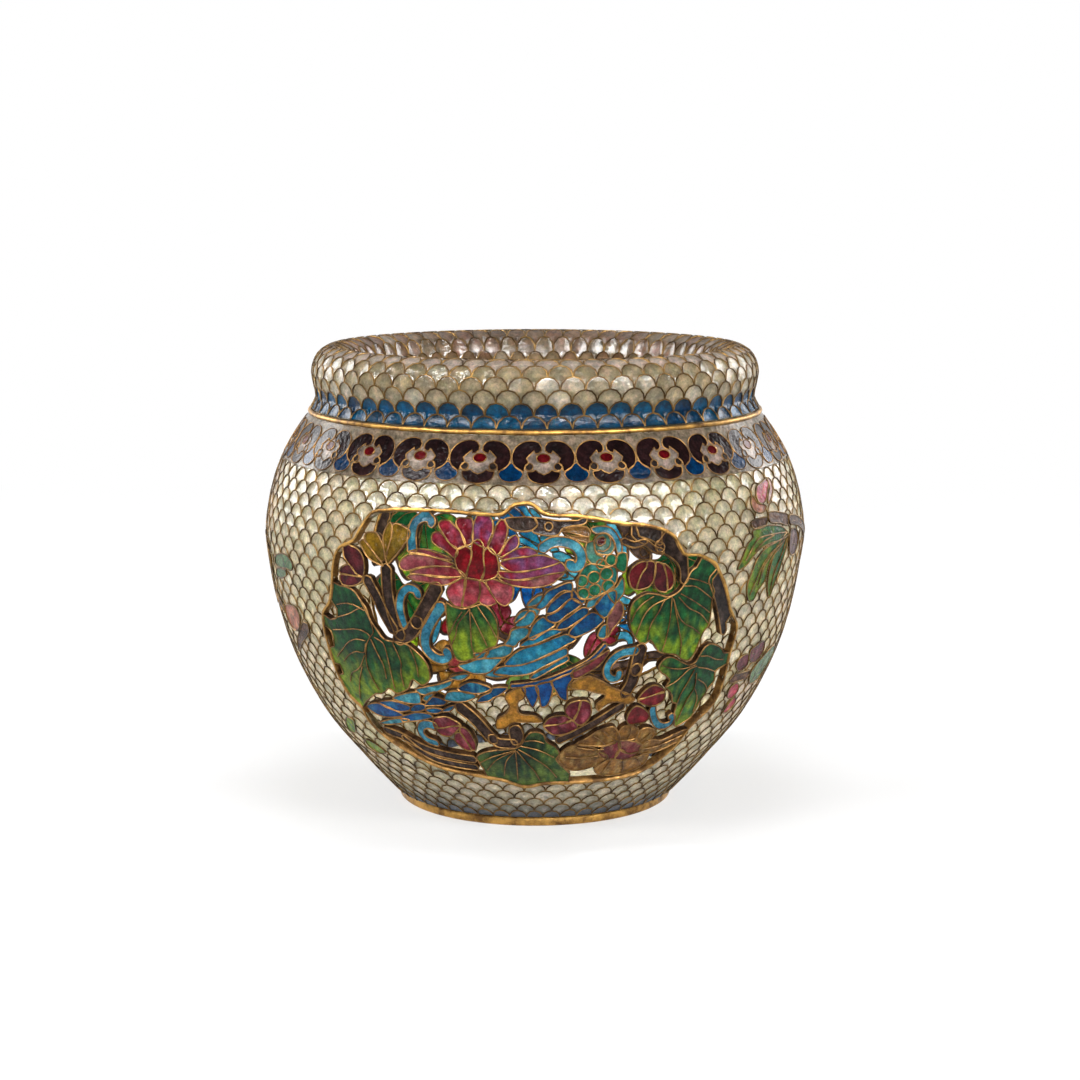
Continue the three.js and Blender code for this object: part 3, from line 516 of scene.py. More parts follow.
# The window's cells, as distance round the belly and height, by the piece that they belong to
WINDOW_CELLS = {
    "bird_head": [
        (BEAK, [(5, 62), (6.6, 62.7), (9.6, 62.7), (10.3, 61.8), (9.9, 61), (8.3, 61.3), (6.4, 61.8)]),
        (BEAK, [(5.2, 61.8), (6.4, 61.3), (8.3, 61), (10, 60.8), (9.9, 60), (8.6, 60.2), (6.6, 60.9)]),
        (CREST, [(10.4, 62.4), (12.1, 62.8), (14.2, 62.4), (15.4, 61), (16.1, 59.3), (16, 58), (15.2, 57.8),
            (14.9, 59.1), (14.4, 60.5), (13.2, 61.5), (11.2, 61.5)]),
        (FACE, [(9.3, 58.6), (9.5, 59.8), (10.9, 60.1), (11, 58.6), (11.3, 57.8), (12.5, 57.2), (11.7, 56),
            (10.4, 56.1), (9.5, 57.2)]),
        (FACE, [(11, 58.6), (10.9, 60.1), (11.8, 61.3), (13.3, 61.4), (14.2, 60.6), (14.7, 59),
            (13.9, 57.8), (12.5, 57.7), (11.4, 58)]),
        (EYE, [(11.3, 60), (11.8, 60.7), (12.6, 60.9), (13.1, 60.4), (12.9, 59.7), (12.2, 59.3),
            (11.6, 59.4)]),
        (HEAD, circle(14, 56.7, 1.05)),
        (HEAD, circle(12.1, 56, 0.9)),
        (HEAD, circle(8.6, 53, 1.1)),
        (HEAD, circle(10.8, 53.6, 1.15)),
        (HEAD, circle(13.1, 54.2, 1.2)),
        (HEAD, circle(11, 51.2, 1.15)),
        (HEAD, circle(13.5, 51.9, 1.15)),
        (HEAD, circle(8.9, 50.6, 1.1)),
        (BREAST, [(7.8, 52), (8.2, 54.4), (9.6, 56), (11.3, 56), (12.8, 55.6), (14.8, 55.2), (15, 52.6),
            (12.8, 50.6), (10, 49.6), (8.2, 50)]),
        (HEAD, [(14.8, 55.4), (16.4, 54.3), (17, 55.6), (16.8, 57.8), (15.3, 57.6)]),
        (CREST, stroke(1.8, [(1.4, 59), (3.2, 60.1), (5.6, 60.1), (7.6, 59.2), (8.5, 57.5), (8.1, 55.9),
            (6.9, 55.6), (6.3, 56.3)])),
    ],
    "bird_wing": [
        (AQUA, [(-1.4, 48.4), (-0.4, 49.6), (0.6, 50.4), (1.4, 50.6), (1.2, 49.4), (0.3, 48.6)]),
        (SKY, [(0.2, 48), (1.6, 50), (2.3, 51.1), (4.1, 52), (5.8, 52.7), (6.8, 52.7), (6.8, 51.2),
            (5.4, 51.3), (4.1, 50.5), (3, 49.4), (2.3, 48.5), (1.2, 47.8)]),
        (AQUA, [(-1.8, 46.5), (-1.1, 47.4), (0, 47.5), (0.2, 46.4), (-0.6, 45), (-2, 44.5), (-3.6, 44.6),
            (-3, 45.6)]),
        (AQUA, [(-3.8, 45.2), (-3.2, 46.6), (-2.2, 47.5), (-1.1, 47.6), (-1.8, 46.5), (-2.9, 45.6)]),
        (AQUA, [(-4.3, 43.7), (-2.2, 44.4), (-1, 44.1), (-1.4, 42.7), (-2.9, 41.6), (-3.7, 40.7),
            (-5.6, 41), (-4.8, 42.3)]),
        (AQUA, [(-1.2, 48.2), (0.2, 48), (1, 47.6), (0.4, 46.6), (-0.2, 47.4), (-1, 47.7)]),
        (COBALT, [(2.2, 47.1), (2.7, 48.6), (4.1, 50), (5.6, 51), (6.8, 51), (6.8, 49.9), (5.7, 49.1),
            (4.7, 48.1), (3.4, 47.2)]),
        (COBALT, [(2.2, 46.6), (3.8, 47.2), (5.1, 48.2), (6.8, 49.8), (8.6, 48.7), (7.6, 47.7), (5.9, 46.6),
            (4.5, 45.4), (3.1, 45.4), (2.2, 46.1)]),
        (COBALT, [(6.8, 49.9), (7, 51.4), (8.2, 50), (9.4, 49.2), (8.6, 48.8)]),
        (SKY, [(-1.1, 42.3), (-0.8, 43.7), (0.1, 45.3), (1.6, 46.4), (2.4, 45.7), (3.9, 44.9), (2.4, 43.8),
            (1, 42.9), (-0.3, 42)]),
        (COBALT, [(4.1, 44), (4.6, 45.1), (6.4, 46.4), (8.7, 48), (9.9, 47.8), (9.9, 46.8), (7.7, 45.2),
            (5.9, 44.1)]),
        (COBALT, [(6.4, 43.1), (6.9, 44.1), (8.5, 45.6), (10.4, 47), (11.4, 46.9), (13, 45.7), (12, 44.4),
            (10.3, 43.4), (8.5, 42.6), (7.2, 42.4)]),
        (SKY, [(-2.8, 40.8), (-1.7, 41.8), (0.6, 43), (3.1, 44), (4.6, 43.9), (5.2, 43.5), (3.1, 42.5),
            (1, 41.5), (-1.2, 40.8)]),
        (SKY, [(-5.8, 37), (-4.1, 39.1), (-2.4, 40.2), (0.6, 41.1), (4.2, 42.5), (6, 43), (7.8, 42),
            (6.4, 41.1), (5, 40.3), (2.5, 39.1), (-0.5, 37.7), (-3, 37)]),
        (TAIL, [(-8, 35.2), (-6.6, 36.6), (-3, 37), (0.1, 37.9), (3.2, 39.2), (6, 40.4), (6.4, 39.2),
            (4.3, 38), (1.7, 36.7), (-0.7, 35.4), (-4, 34.9)]),
        (TAIL, [(-1, 34.4), (0.1, 35.5), (2.5, 36.7), (6.2, 38.8), (6.6, 38), (4.3, 36.7), (1.8, 35.2),
            (-0.2, 34.2)]),
        (SKY, [(11.1, 48.2), (11.7, 49.3), (13.4, 50.7), (15, 50.9), (15, 48.5), (14, 46.5), (12.8, 45.9),
            (11.4, 47.4)]),
        (AQUA, [(9.8, 49.2), (10.8, 49.6), (13.2, 50.9), (12.4, 49.9), (11.1, 48.3), (9.6, 47.9)]),
        (AQUA, [(-8.7, 39.8), (-7.3, 40.4), (-5.7, 40.9), (-4.1, 40.6), (-4.4, 39.4), (-5.7, 38.6),
            (-7.4, 38.3), (-9.6, 38.4)]),
        (AQUA, [(-11.7, 39), (-10, 39.3), (-8.7, 39.7), (-9.6, 38.4), (-11.3, 38)]),
        (AQUA, [(-15, 36.5), (-13, 37.2), (-11, 38), (-9, 38.2), (-6.2, 38.3), (-7.6, 36.6), (-9, 35.4),
            (-11.5, 35), (-13.5, 35.5)]),
        (AQUA, [(-9, 35.4), (-6.8, 36.6), (-8, 35.3), (-5, 34.9), (-7.4, 34.4), (-9.8, 34.8)]),
    ],
    "bird_breast": [
        (BREAST, [(13.4, 50.7), (15, 51.6), (16.2, 53.4), (16.6, 50.6), (15.5, 49), (15, 48.4)]),
        (RUST, [(13.8, 46.4), (14.8, 48), (15.5, 49.1), (16.4, 48.4), (16.7, 46.6), (16, 45), (14.9, 43.8),
            (13.8, 42.1), (13.6, 44.4)]),
        (AQUA, [(11.9, 42.6), (12.7, 44.4), (13.6, 44.6), (14, 43.3), (13.4, 42), (12.4, 42)]),
    ],
    "bird_tail": [
        (TAIL, [(-41, 25.4), (-36.9, 26.6), (-34.6, 26), (-31.4, 25.4), (-30.3, 24.8), (-35, 23.8),
            (-38.1, 23.8), (-40.4, 24.6)]),
        (TAIL, [(-36.4, 26.8), (-33, 27.6), (-30, 27.5), (-27.8, 27), (-28.2, 26.2), (-31.3, 25.5),
            (-34, 26.1)]),
        (AQUA, [(-31.8, 28.3), (-28.8, 29.5), (-24.8, 30.2), (-24.8, 28.2), (-26.2, 27.7), (-29.1, 27.7)]),
        (COBALT, [(-28, 26.5), (-26.4, 27.6), (-24, 27.8), (-24.1, 26.9), (-26.2, 26.1), (-28.2, 26)]),
        (TAIL, [(-31.4, 24.3), (-29, 25.2), (-26.4, 25.9), (-23.2, 25.8), (-22.6, 25.3), (-25.9, 24.3),
            (-28.8, 23.7), (-31.3, 23.4)]),
        (AQUA, [(-39.1, 22), (-35.1, 23.3), (-31.8, 24), (-29.3, 23.9), (-32, 22.9), (-36.7, 22)]),
        (AQUA, [(-25.4, 30.8), (-22.9, 31.6), (-19.7, 32.4), (-16.7, 33.4), (-17.1, 32.4), (-19.7, 31.1),
            (-22.7, 30), (-24.3, 30)]),
        (AQUA, [(-17.2, 33.9), (-15.5, 34.6), (-13, 34.9), (-14, 33.9), (-15.4, 33.5)]),
        (SKY, [(-15.8, 31.7), (-14.7, 32.6), (-12.9, 33.3), (-11, 33.1), (-8.8, 32.2), (-10.6, 31.2),
            (-12.7, 31), (-14.8, 31.2)]),
        (AQUA, [(-19.1, 29.3), (-18.2, 30.8), (-15.9, 31.3), (-12.7, 31), (-12, 30.4), (-13.8, 29.4),
            (-16.3, 29), (-18.6, 29.1)]),
        (AQUA, [(-24.2, 28.9), (-23, 30), (-20.6, 30.8), (-21.7, 29.8), (-23.2, 28.6)]),
        (COBALT, [(-24.2, 26.7), (-22, 27.3), (-20, 27.1), (-21.2, 26.2), (-23.3, 26.1)]),
        (COBALT, [(-20.3, 26.7), (-18.8, 27.7), (-17, 28.2), (-18.2, 26.9)]),
        (COBALT, [(-12, 29.2), (-11.1, 30.4), (-8.9, 31.5), (-8.4, 32.3), (-5.4, 32.4), (-6.9, 31),
            (-8.5, 30.2), (-9.3, 29.6)]),
        (COBALT, [(-23.2, 28.5), (-21.7, 29.7), (-18.6, 29), (-19.2, 28.2), (-21.6, 27.8), (-24, 27.7)]),
    ],
    "bird_belly": [
        (UNDER_TAIL, [(-2.6, 32.5), (0.3, 32.9), (0.8, 31), (-0.4, 28.5), (-1.4, 30), (-2, 31.3)]),
        (UNDER_TAIL, [(0.3, 32.9), (3.3, 33.6), (3.6, 31.6), (2.6, 28.8), (1.4, 28.5), (1, 30.4)]),
        (UNDER_TAIL, [(3.3, 33.6), (7.3, 35.4), (7.6, 34.4), (6.6, 32.6), (6.6, 29.8), (5.2, 30.4),
            (4.2, 32)]),
        (THIGH, [(7.4, 35.8), (9.9, 37.2), (11.9, 38.2), (14.5, 39.6), (13.8, 38.1), (12.4, 36.5),
            (10.2, 35.2), (8.2, 34.2), (7.2, 34.7)]),
        (LEG, [(7, 33), (8.8, 34.1), (10.6, 34.6), (13.4, 33.5), (16.4, 31.8), (20.4, 30.1), (21.4, 29.1),
            (20, 28.4), (17, 29), (15, 28.5), (13.5, 27.4), (12.9, 28.6), (14.5, 30), (14.6, 30.6),
            (12.8, 31.1), (10, 31.9), (7.6, 32.2)]),
        (LEG, [(-6, 30.6), (-4, 32.1), (-2, 32.5), (-2.1, 30.5), (-3.3, 29.6), (-3.6, 28.1), (-3, 27),
            (0, 26.6), (1.6, 25.4), (-2, 25.3), (-4.6, 25.1), (-6.6, 23.9), (-8.4, 23.9), (-8.1, 25.8),
            (-6.3, 26.8), (-5.2, 28.4)]),
        (UNDER_TAIL, stroke(0.8, [(-4.6, 32.8), (-1, 33.2), (3, 34.2), (7.5, 36), (11, 37.9),
            (13.6, 40.6)])),
    ],
    "blossom_rose": [
        (HEART, [(-12.5, 53.5), (-14, 55), (-14.5, 57), (-14, 58.6), (-12.6, 59.2), (-11.4, 58.4),
            (-11.5, 57), (-12, 55.4)]),
        (HEART, [(-12.5, 53.5), (-12, 55.4), (-11.5, 57), (-11.4, 59.6), (-10.4, 60.5), (-9.4, 59.8),
            (-9.2, 57), (-9, 55), (-9.6, 53.2), (-11, 53.3)]),
        (HEART, [(-9.6, 53.2), (-9, 55), (-9.2, 57), (-9, 58.6), (-8, 59), (-7, 58), (-6.4, 56),
            (-6.5, 54.5), (-7.5, 53.5)]),
        (PETAL, [(-14.5, 57), (-16, 58), (-18, 59), (-19.1, 59.9), (-19, 61.2), (-17.8, 61.6), (-17, 61),
            (-15.5, 59.5), (-14, 58.6)]),
        (PETAL, [(-14, 58.6), (-15.5, 59.5), (-17, 61.3), (-18, 62.9), (-17.4, 63.6), (-16, 63.6),
            (-15.3, 63.1), (-13.6, 61.6), (-12.6, 59.4)]),
        (PETAL, [(-12.6, 59.4), (-13.6, 61.6), (-14.6, 63.1), (-14.4, 64.1), (-13, 64.2), (-11.6, 64),
            (-11.3, 62.4), (-11.4, 59.8)]),
        (VIOLET, [(-11.2, 60.2), (-11.3, 62.4), (-11, 64), (-10, 64.6), (-8.6, 64.6), (-7.8, 63.9),
            (-7.6, 62), (-8.4, 60), (-8.6, 59)]),
        (PETAL, [(-8.4, 59), (-7.8, 60.6), (-7, 63), (-6.2, 64.1), (-5.4, 63.8), (-4.9, 62.6), (-5.1, 61),
            (-5.8, 59), (-6.8, 57.8)]),
        (VIOLET, [(-6.4, 57.4), (-5.5, 59.2), (-4.6, 60.7), (-3.4, 61.4), (-2.9, 60.9), (-3, 59.4),
            (-4.6, 58.2)]),
        (VIOLET, [(-6.2, 57), (-4.6, 58.2), (-3, 59), (-1, 59.2), (0.6, 58.2), (-1, 57.6), (-3, 57.4)]),
        (VIOLET, [(-6.2, 56.4), (-3, 57.4), (-1, 57.6), (1.6, 57.8), (4.6, 56.6), (3.2, 56), (0, 55.2),
            (-4, 54.8)]),
        (VIOLET, [(-6.6, 54.8), (-4, 54.8), (0, 55.2), (3.2, 56), (4.8, 56.5), (5.6, 55), (2.2, 54.3),
            (-1, 53.6), (-4, 53.3), (-6, 53.8)]),
        (LONG_PETAL, [(-6.6, 53.8), (-4, 53.3), (-1, 53.4), (2.2, 54.3), (5.4, 54.6), (4.2, 53.4),
            (3, 52.5), (0, 51.9), (-3.6, 52.2), (-5.6, 52.9)]),
        (LONG_PETAL, [(-25.5, 55.4), (-24.4, 56.7), (-22.8, 57.3), (-20.4, 57.2), (-18, 56.8),
            (-15.4, 56.2), (-14.6, 55.9), (-15.6, 55.4), (-18, 55.4), (-21.5, 54.9), (-24, 54.1),
            (-25.2, 54.4)]),
        (LONG_PETAL, [(-23.6, 57.6), (-22, 58.2), (-20.4, 58.3), (-18.4, 57.9), (-16.3, 57.3), (-15, 56.6),
            (-18, 56.9), (-20.5, 57.4)]),
        (LONG_PETAL, [(-23.4, 53.8), (-21.5, 54.7), (-18, 55.3), (-15.6, 55.4), (-14, 55), (-12.7, 54),
            (-14.6, 53.5), (-19.5, 53.6)]),
        (LONG_PETAL, [(-24, 53), (-22.4, 53.6), (-19.5, 53.4), (-16, 53.3), (-13.4, 53.5), (-15, 52.4),
            (-17.4, 51.8), (-20, 52.2), (-22.4, 52.3)]),
        (LOW_PETAL, [(-15.6, 52), (-14.2, 53), (-12.6, 53.4), (-12.5, 52.4), (-13, 50.4), (-13.5, 48),
            (-14.6, 48), (-15.7, 49), (-16.3, 50.6)]),
        (LOW_PETAL, [(-12.5, 53.3), (-10.6, 53.1), (-10, 53), (-9.9, 51), (-10.5, 49), (-11.4, 48.4),
            (-12.5, 47.9), (-13.5, 48.2), (-13, 50.4)]),
        (LOW_PETAL, [(-9.9, 53), (-8.9, 52.6), (-8.4, 51.6), (-7.4, 50), (-6.9, 49.1), (-8, 48.4),
            (-9.2, 48.4), (-10.2, 49.2), (-9.9, 51)]),
        (LOW_PETAL, [(-8.8, 52.9), (-7.4, 53.4), (-5.5, 52.7), (-4, 52.2), (-3.9, 50.4), (-4.5, 49),
            (-5.5, 48.4), (-6.6, 49), (-7.4, 50), (-8.3, 51.7)]),
        (TEAL, stroke(1.9, [(-22.9, 57.9), (-23.2, 61), (-22.6, 63.1), (-21, 64), (-19.6, 63.6),
            (-19.4, 62.8)], 0.8)),
    ],
    "leaf_middle": [
        (MIDDLE_LEAF, [(-16.4, 48.6), (-16.6, 46), (-16.5, 43), (-16, 40), (-15.3, 37.9), (-14, 37.4),
            (-12, 38), (-10.8, 38.6), (-9.8, 39.6), (-8.8, 40.2), (-7.3, 40.8), (-6.9, 42.4), (-6.9, 45),
            (-7.5, 46.6), (-8.5, 48), (-9.6, 48.6), (-11.6, 48), (-13.4, 47.6), (-15.4, 48)]),
        (TEAL, stroke(2.3, [(-17.6, 47.8), (-19.5, 45.3), (-20.7, 43.3), (-21.4, 41.2), (-21.3, 39.4),
            (-20, 38), (-18.3, 37.5), (-16.9, 38.2), (-17.2, 39.3)], 0.75)),
    ],
    "leaf_left": [
        (LEFT_LEAF, [(-42, 48.3), (-40.5, 49.5), (-38.5, 49.6), (-36.5, 49), (-35.3, 47.6), (-34, 46),
            (-33.4, 44), (-32, 42), (-30.6, 40.4), (-28, 40.1), (-26, 40), (-24.6, 39.4), (-22.5, 37.6),
            (-21.5, 36), (-21.4, 33.6), (-22.4, 32.4), (-23.6, 31.9), (-24.6, 32.4), (-25.4, 32.9),
            (-26.2, 32.2), (-27, 30.9), (-29, 29.9), (-30.5, 29.5), (-32, 30.3), (-33.2, 29.6),
            (-34.6, 28.9), (-36.4, 28.6), (-38.5, 27.5), (-40.5, 26.4), (-42, 25.5), (-44, 26), (-45, 27.5),
            (-45.5, 29.5), (-45, 31.5), (-45.2, 33.4), (-46.1, 34), (-45.6, 36), (-45, 39), (-45.6, 40.8),
            (-46, 42), (-44, 42.6), (-42.5, 43.2), (-42.1, 45.5), (-42.5, 47)]),
    ],
    "leaf_right_upper": [
        (UPPER_LEAF, [(30.4, 53.5), (31.5, 54.1), (33, 54.6), (34.5, 54.2), (35.6, 53), (35.6, 50.4),
            (36.4, 49), (36, 47.5), (36.1, 45), (36, 42.6), (35, 41.4), (34.4, 40), (34, 38.5), (33.4, 37),
            (32.2, 36), (30.5, 36.5), (29, 37.5), (27, 37.9), (25, 38.5), (24, 39.6), (22.7, 41),
            (22, 40.5), (21, 40.4), (20, 41.2), (19.2, 42.2), (18.3, 43.8), (18, 45.5), (18, 47),
            (18.6, 48.6), (20, 49.6), (21.5, 50), (24, 49.5), (25.6, 49), (27.5, 49.6), (28.6, 50.6),
            (29.6, 52.2)]),
        (BARK, stroke(2.2, [(35.6, 51.6), (37, 49), (38.4, 46), (39.4, 43.6), (40.6, 40.6)], 0.7)),
    ],
    "leaf_right_lower": [
        (LOWER_LEAF, [(25.5, 35.4), (26, 36.5), (27, 37.1), (28.5, 37), (30.5, 36), (33, 35), (34.4, 35.4),
            (35, 36.5), (36, 38), (37.5, 38.6), (40.5, 37.6), (42, 36.2), (43.1, 34.5), (42.4, 33.4),
            (41, 32.5), (41.6, 30.6), (40.6, 29.4), (40, 28), (39.4, 26.8), (39, 25), (38.4, 23.4),
            (36.5, 22.4), (34.5, 21.9), (33.5, 23.4), (32.6, 25.3), (32.4, 27), (31, 27.6), (30.4, 29),
            (29.2, 30.2), (28, 31.1), (28.8, 32.2), (27.5, 33.5), (26.3, 34.2)]),
    ],
    "leaf_bottom": [
        (BOTTOM_LEAF, [(-14.4, 17), (-12.5, 18.1), (-10, 18.7), (-7, 19.1), (-4.6, 19.4), (-3.2, 20.2),
            (-2, 22), (-1, 22.9), (0.5, 23.1), (2, 22.5), (2.7, 21), (5, 19.6), (6, 18), (5.2, 17),
            (6.5, 15.5), (8, 14.3), (9.6, 12.9), (8.4, 12), (5.5, 11.6), (2, 11.6), (0, 11.5), (-2.5, 11.1),
            (-4.5, 11.5), (-6.6, 12.1), (-9.5, 12.9), (-11.7, 13.4), (-13.5, 14.4), (-14.2, 16)]),
    ],
    "blossom_amber": [
        (AMBER, [(5.6, 17.4), (7, 19.1), (9.5, 20.1), (13, 19.6), (16, 18.2), (18.5, 16.6), (16.5, 15.2),
            (14.5, 14.5), (11.5, 14), (8, 14.5), (6.4, 16)]),
        (AMBER, [(9.5, 20.2), (12, 21.5), (14.4, 23), (15.6, 22.9), (17.6, 21.4), (19.4, 20), (16.4, 19.4),
            (13, 19.7)]),
        (AMBER, [(14.6, 23), (17.6, 23.6), (19.3, 22.2), (20, 20.4), (17.6, 21.2), (15.8, 22.7)]),
        (AMBER, [(19.3, 22.2), (20.6, 23.6), (23.2, 23.2), (24.3, 22.3), (24.3, 20.6), (21, 20.2),
            (20, 20.4)]),
        (AMBER, [(24.5, 21.9), (26.1, 22.6), (28.4, 22), (29.2, 20.9), (28.6, 19.8), (26.6, 18.8),
            (24.4, 20)]),
        (AMBER, [(26.8, 18.8), (28.8, 19.7), (32, 19.2), (35.5, 20.1), (39.2, 20.6), (40, 19.6), (38, 18.2),
            (35, 17.1), (30.6, 16.4), (26.8, 17)]),
        (AMBER, [(18.6, 16.2), (22.5, 15.6), (26, 15.9), (30, 16.3), (30.6, 14.6), (30, 13.4), (26.5, 12.5),
            (22.5, 12), (18, 12.4), (15.8, 13.8), (16.6, 15.1)]),
        (AMBER_HEART, [(15.5, 17.7), (16.6, 19.4), (20, 20.3), (21, 18.2), (20.4, 16.3), (18.6, 16.3)]),
        (AMBER_HEART, [(21, 18.2), (20, 20.3), (23.6, 19.9), (26.6, 18.8), (26.7, 17.2), (24, 17)]),
        (AMBER_HEART, [(20.4, 16.3), (21, 18.2), (24, 17), (26.7, 17.1), (25.6, 16), (23, 15.6)]),
    ],
    "bud_amber": [
        (AMBER_BUD, [(-29, 54.6), (-32, 55.6), (-33.5, 57), (-34.5, 58.5), (-33.6, 59.1), (-31.6, 57.4),
            (-29.5, 55.4)]),
        (AMBER_BUD, [(-29.5, 55.4), (-31.6, 57.4), (-33.6, 59.1), (-33.3, 60.2), (-32.4, 60.5), (-31, 60.5),
            (-29.9, 59.5), (-29, 58), (-28.5, 56)]),
        (AMBER_BUD, [(-28.5, 56), (-29, 58.5), (-29.3, 60.1), (-28.6, 62), (-28, 62.6), (-27.5, 62),
            (-27.5, 60), (-28, 58)]),
        (AMBER_BUD, [(-28, 58), (-27.5, 60), (-27.5, 62), (-26.4, 62.5), (-25, 62), (-23.7, 61.4),
            (-23.6, 60.5), (-24.5, 59), (-25.5, 57.6), (-27, 56), (-28, 55), (-28.5, 56)]),
    ],
    "bud_maroon": [
        (MAROON, [(-34, 52), (-35.5, 52.5), (-37, 54), (-38.5, 55.6), (-38.4, 56.9), (-37, 57.5),
            (-35.5, 57.4), (-34, 56.5), (-33.4, 55), (-33.4, 53.5)]),
        (MAROON, [(-34, 52), (-35.5, 52.5), (-37, 54), (-39, 53.5), (-40, 52.4), (-39.5, 52), (-37, 52)]),
        (MAROON, [(-34, 52), (-37, 52), (-39.5, 52), (-40, 51), (-39.4, 50), (-37.5, 49.9), (-35.5, 50.4),
            (-34.2, 51.3)]),
    ],
    "bud_round": [
        (WINE, [(17.4, 54), (18, 55.1), (19.5, 56), (20.9, 56), (20.8, 55), (20, 54), (19.4, 52.6),
            (19, 51), (18, 51.4), (17.5, 52.6)]),
        (MAROON, [(20.9, 56), (22, 56), (22.6, 55.4), (22.5, 53), (21.6, 51.4), (20, 50.9), (19, 51),
            (19.4, 52.6), (20, 54), (20.8, 55)]),
        (MAROON, [(22.8, 55.8), (24, 55.4), (24.4, 55), (25, 53), (25.4, 50.4), (25, 50), (23.5, 50.4),
            (22.5, 51.6), (22.5, 54)]),
        (WINE, [(24.2, 55.4), (25.5, 54.6), (26.5, 53), (26.6, 51.5), (26, 50.5), (25.4, 50.4), (25, 53)]),
    ],
    "buds_red": [
        (WINE, [(22, 29), (23, 30.6), (24.5, 31.6), (26, 31.6), (28, 30.6), (28.2, 30), (25.5, 29.6),
            (23.6, 29.2)]),
        (WINE, [(22, 29), (23.6, 29.2), (25.5, 29.6), (28.2, 30), (28.6, 28.4), (27, 27.3), (25.4, 27.3),
            (23, 28.2)]),
        (WINE, [(20.5, 25), (21, 27), (22.1, 27.7), (24.5, 26.7), (26.1, 25.1), (25.4, 24), (23.5, 23.8),
            (21.4, 23.9)]),
        (TEAL, stroke(1.6, [(26.2, 26.8), (27.2, 24.9), (29, 23), (31, 22.4), (32.5, 22.8), (32.8, 24),
            (31.7, 24.5)], 0.8)),
    ],
    "buds_middle": [
        (PINK, [(1.9, 24.5), (3, 26), (5, 26.6), (6.6, 26.5), (8, 25.5), (5.6, 24.8), (3.6, 24.6)]),
        (PINK, [(1.9, 24.5), (3.6, 24.6), (5.6, 24.8), (8, 25.5), (9.5, 24), (8, 22.9), (5, 22.4),
            (3.4, 22.9)]),
        (PINK, [(6.4, 27.4), (7, 29), (8.5, 29.6), (9.6, 29.6), (9.2, 27.4), (8.4, 25.6)]),
        (PINK, [(9.6, 29.6), (10.6, 29.6), (11.6, 29), (12.1, 27), (11.5, 25.4), (10, 24.4), (8.4, 25.6),
            (9.2, 27.4)]),
    ],
    "buds_pink": [
        (PINK, [(-23.1, 23.2), (-22.8, 24.9), (-21, 25.4), (-19.5, 25.6), (-18, 25.1), (-16.4, 24),
            (-18.8, 23.6), (-21.4, 23)]),
        (PINK, [(-23.1, 23.2), (-21.4, 23), (-18.8, 23.6), (-16.4, 24), (-18, 22.5), (-19.6, 21.4),
            (-21.6, 21.4), (-22.8, 22.2)]),
        (PINK, [(-16.5, 23.7), (-15.1, 23.1), (-14.2, 21.6), (-13.8, 20), (-14.2, 18.6), (-15, 18.6),
            (-16, 20.6), (-17, 22.4)]),
        (PINK, [(-15, 18.6), (-16, 18.4), (-17.5, 19), (-18.8, 20.5), (-18.4, 21.9), (-17, 22.4),
            (-16, 20.6)]),
        (TEAL, stroke(1.8, [(-22.9, 23.2), (-24.8, 23.5), (-26.7, 22.7), (-27.2, 21.2), (-26, 19.9),
            (-23.8, 19.4)], 0.8)),
    ],
    "branch_left": [
        (BARK, stroke(2.2, [(-28.4, 54.2), (-28.5, 50), (-28, 46), (-26.6, 41.4)])),
        (BARK, stroke(2.1, [(-33, 51.6), (-31.2, 48.6), (-29.8, 45.5), (-28, 42.4)])),
        (BARK, stroke(2.6, [(-27.4, 40.8), (-24.8, 42), (-22.5, 44.6), (-20.5, 47.6), (-18.2, 51.4)])),
        (BARK, circle(-22.8, 44.4, 1.25)),
        (TEAL, stroke(1.8, [(-25.6, 43.6), (-26.1, 46.6), (-25.5, 49.4), (-24, 50.8), (-22.4, 50.5),
            (-21.9, 49.5)], 0.8)),
    ],
    "branch_top": [
        (BARK, [(-5.4, 64.2), (-2.6, 64.5), (0, 64.4), (0.6, 63.2), (-0.6, 62.2), (-3, 62.1),
            (-4.8, 62.8)]),
        (BARK, [(0, 64.4), (4.6, 63.9), (7.4, 63.9), (9.8, 63.8), (9, 63.2), (6.6, 62.9), (5, 62.4),
            (4.4, 61.4), (1.6, 61.4), (-0.4, 62.1), (0.6, 63.2)]),
        (BARK, circle(2.6, 62.9, 0.75)),
    ],
    "branch_right_top": [
        (BARK, stroke(0.95, [(15.8, 61.9), (18, 61.6), (20.4, 60.9), (22.2, 60.2), (23.8, 59.2)])),
        (BARK, stroke(1.05, [(16.4, 60), (18.6, 59.2), (20.6, 59.5), (22.4, 58.2), (24, 57.6)])),
        (BARK, stroke(0.9, [(18.4, 61.2), (19.4, 60.2), (20.8, 59.6)])),
        (BARK, stroke(2.3, [(23.6, 58.8), (25.6, 57.8), (27.6, 56.2), (28.6, 54.4), (28.9, 51.8)], 0.7)),
        (BARK, circle(23.6, 58.5, 0.95)),
    ],
    "branch_right": [
        (BARK, stroke(2.4, [(21, 39.6), (20.6, 37.5), (20.4, 35)])),
        (BARK, stroke(2.4, [(20.4, 35.6), (19.9, 32.6), (18.9, 30.6)])),
        (BARK, circle(20.6, 35.3, 1.25)),
        (TEAL, stroke(1.7, [(20, 39.2), (17, 38.8), (14.9, 37.3), (14.3, 35.4), (15.2, 34), (16.7, 33.9),
            (17, 35)], 0.8)),
    ],
    "branch_low": [
        (BARK, stroke(1.5, [(5.4, 21.2), (8, 22.2), (11, 23.6), (14, 25.2), (17, 27), (18.8, 28)])),
    ],
    "branch_middle": [
        (BARK, stroke(2.4, [(-16, 28), (-13, 25.4), (-10.4, 22.2), (-9.4, 21.2)])),
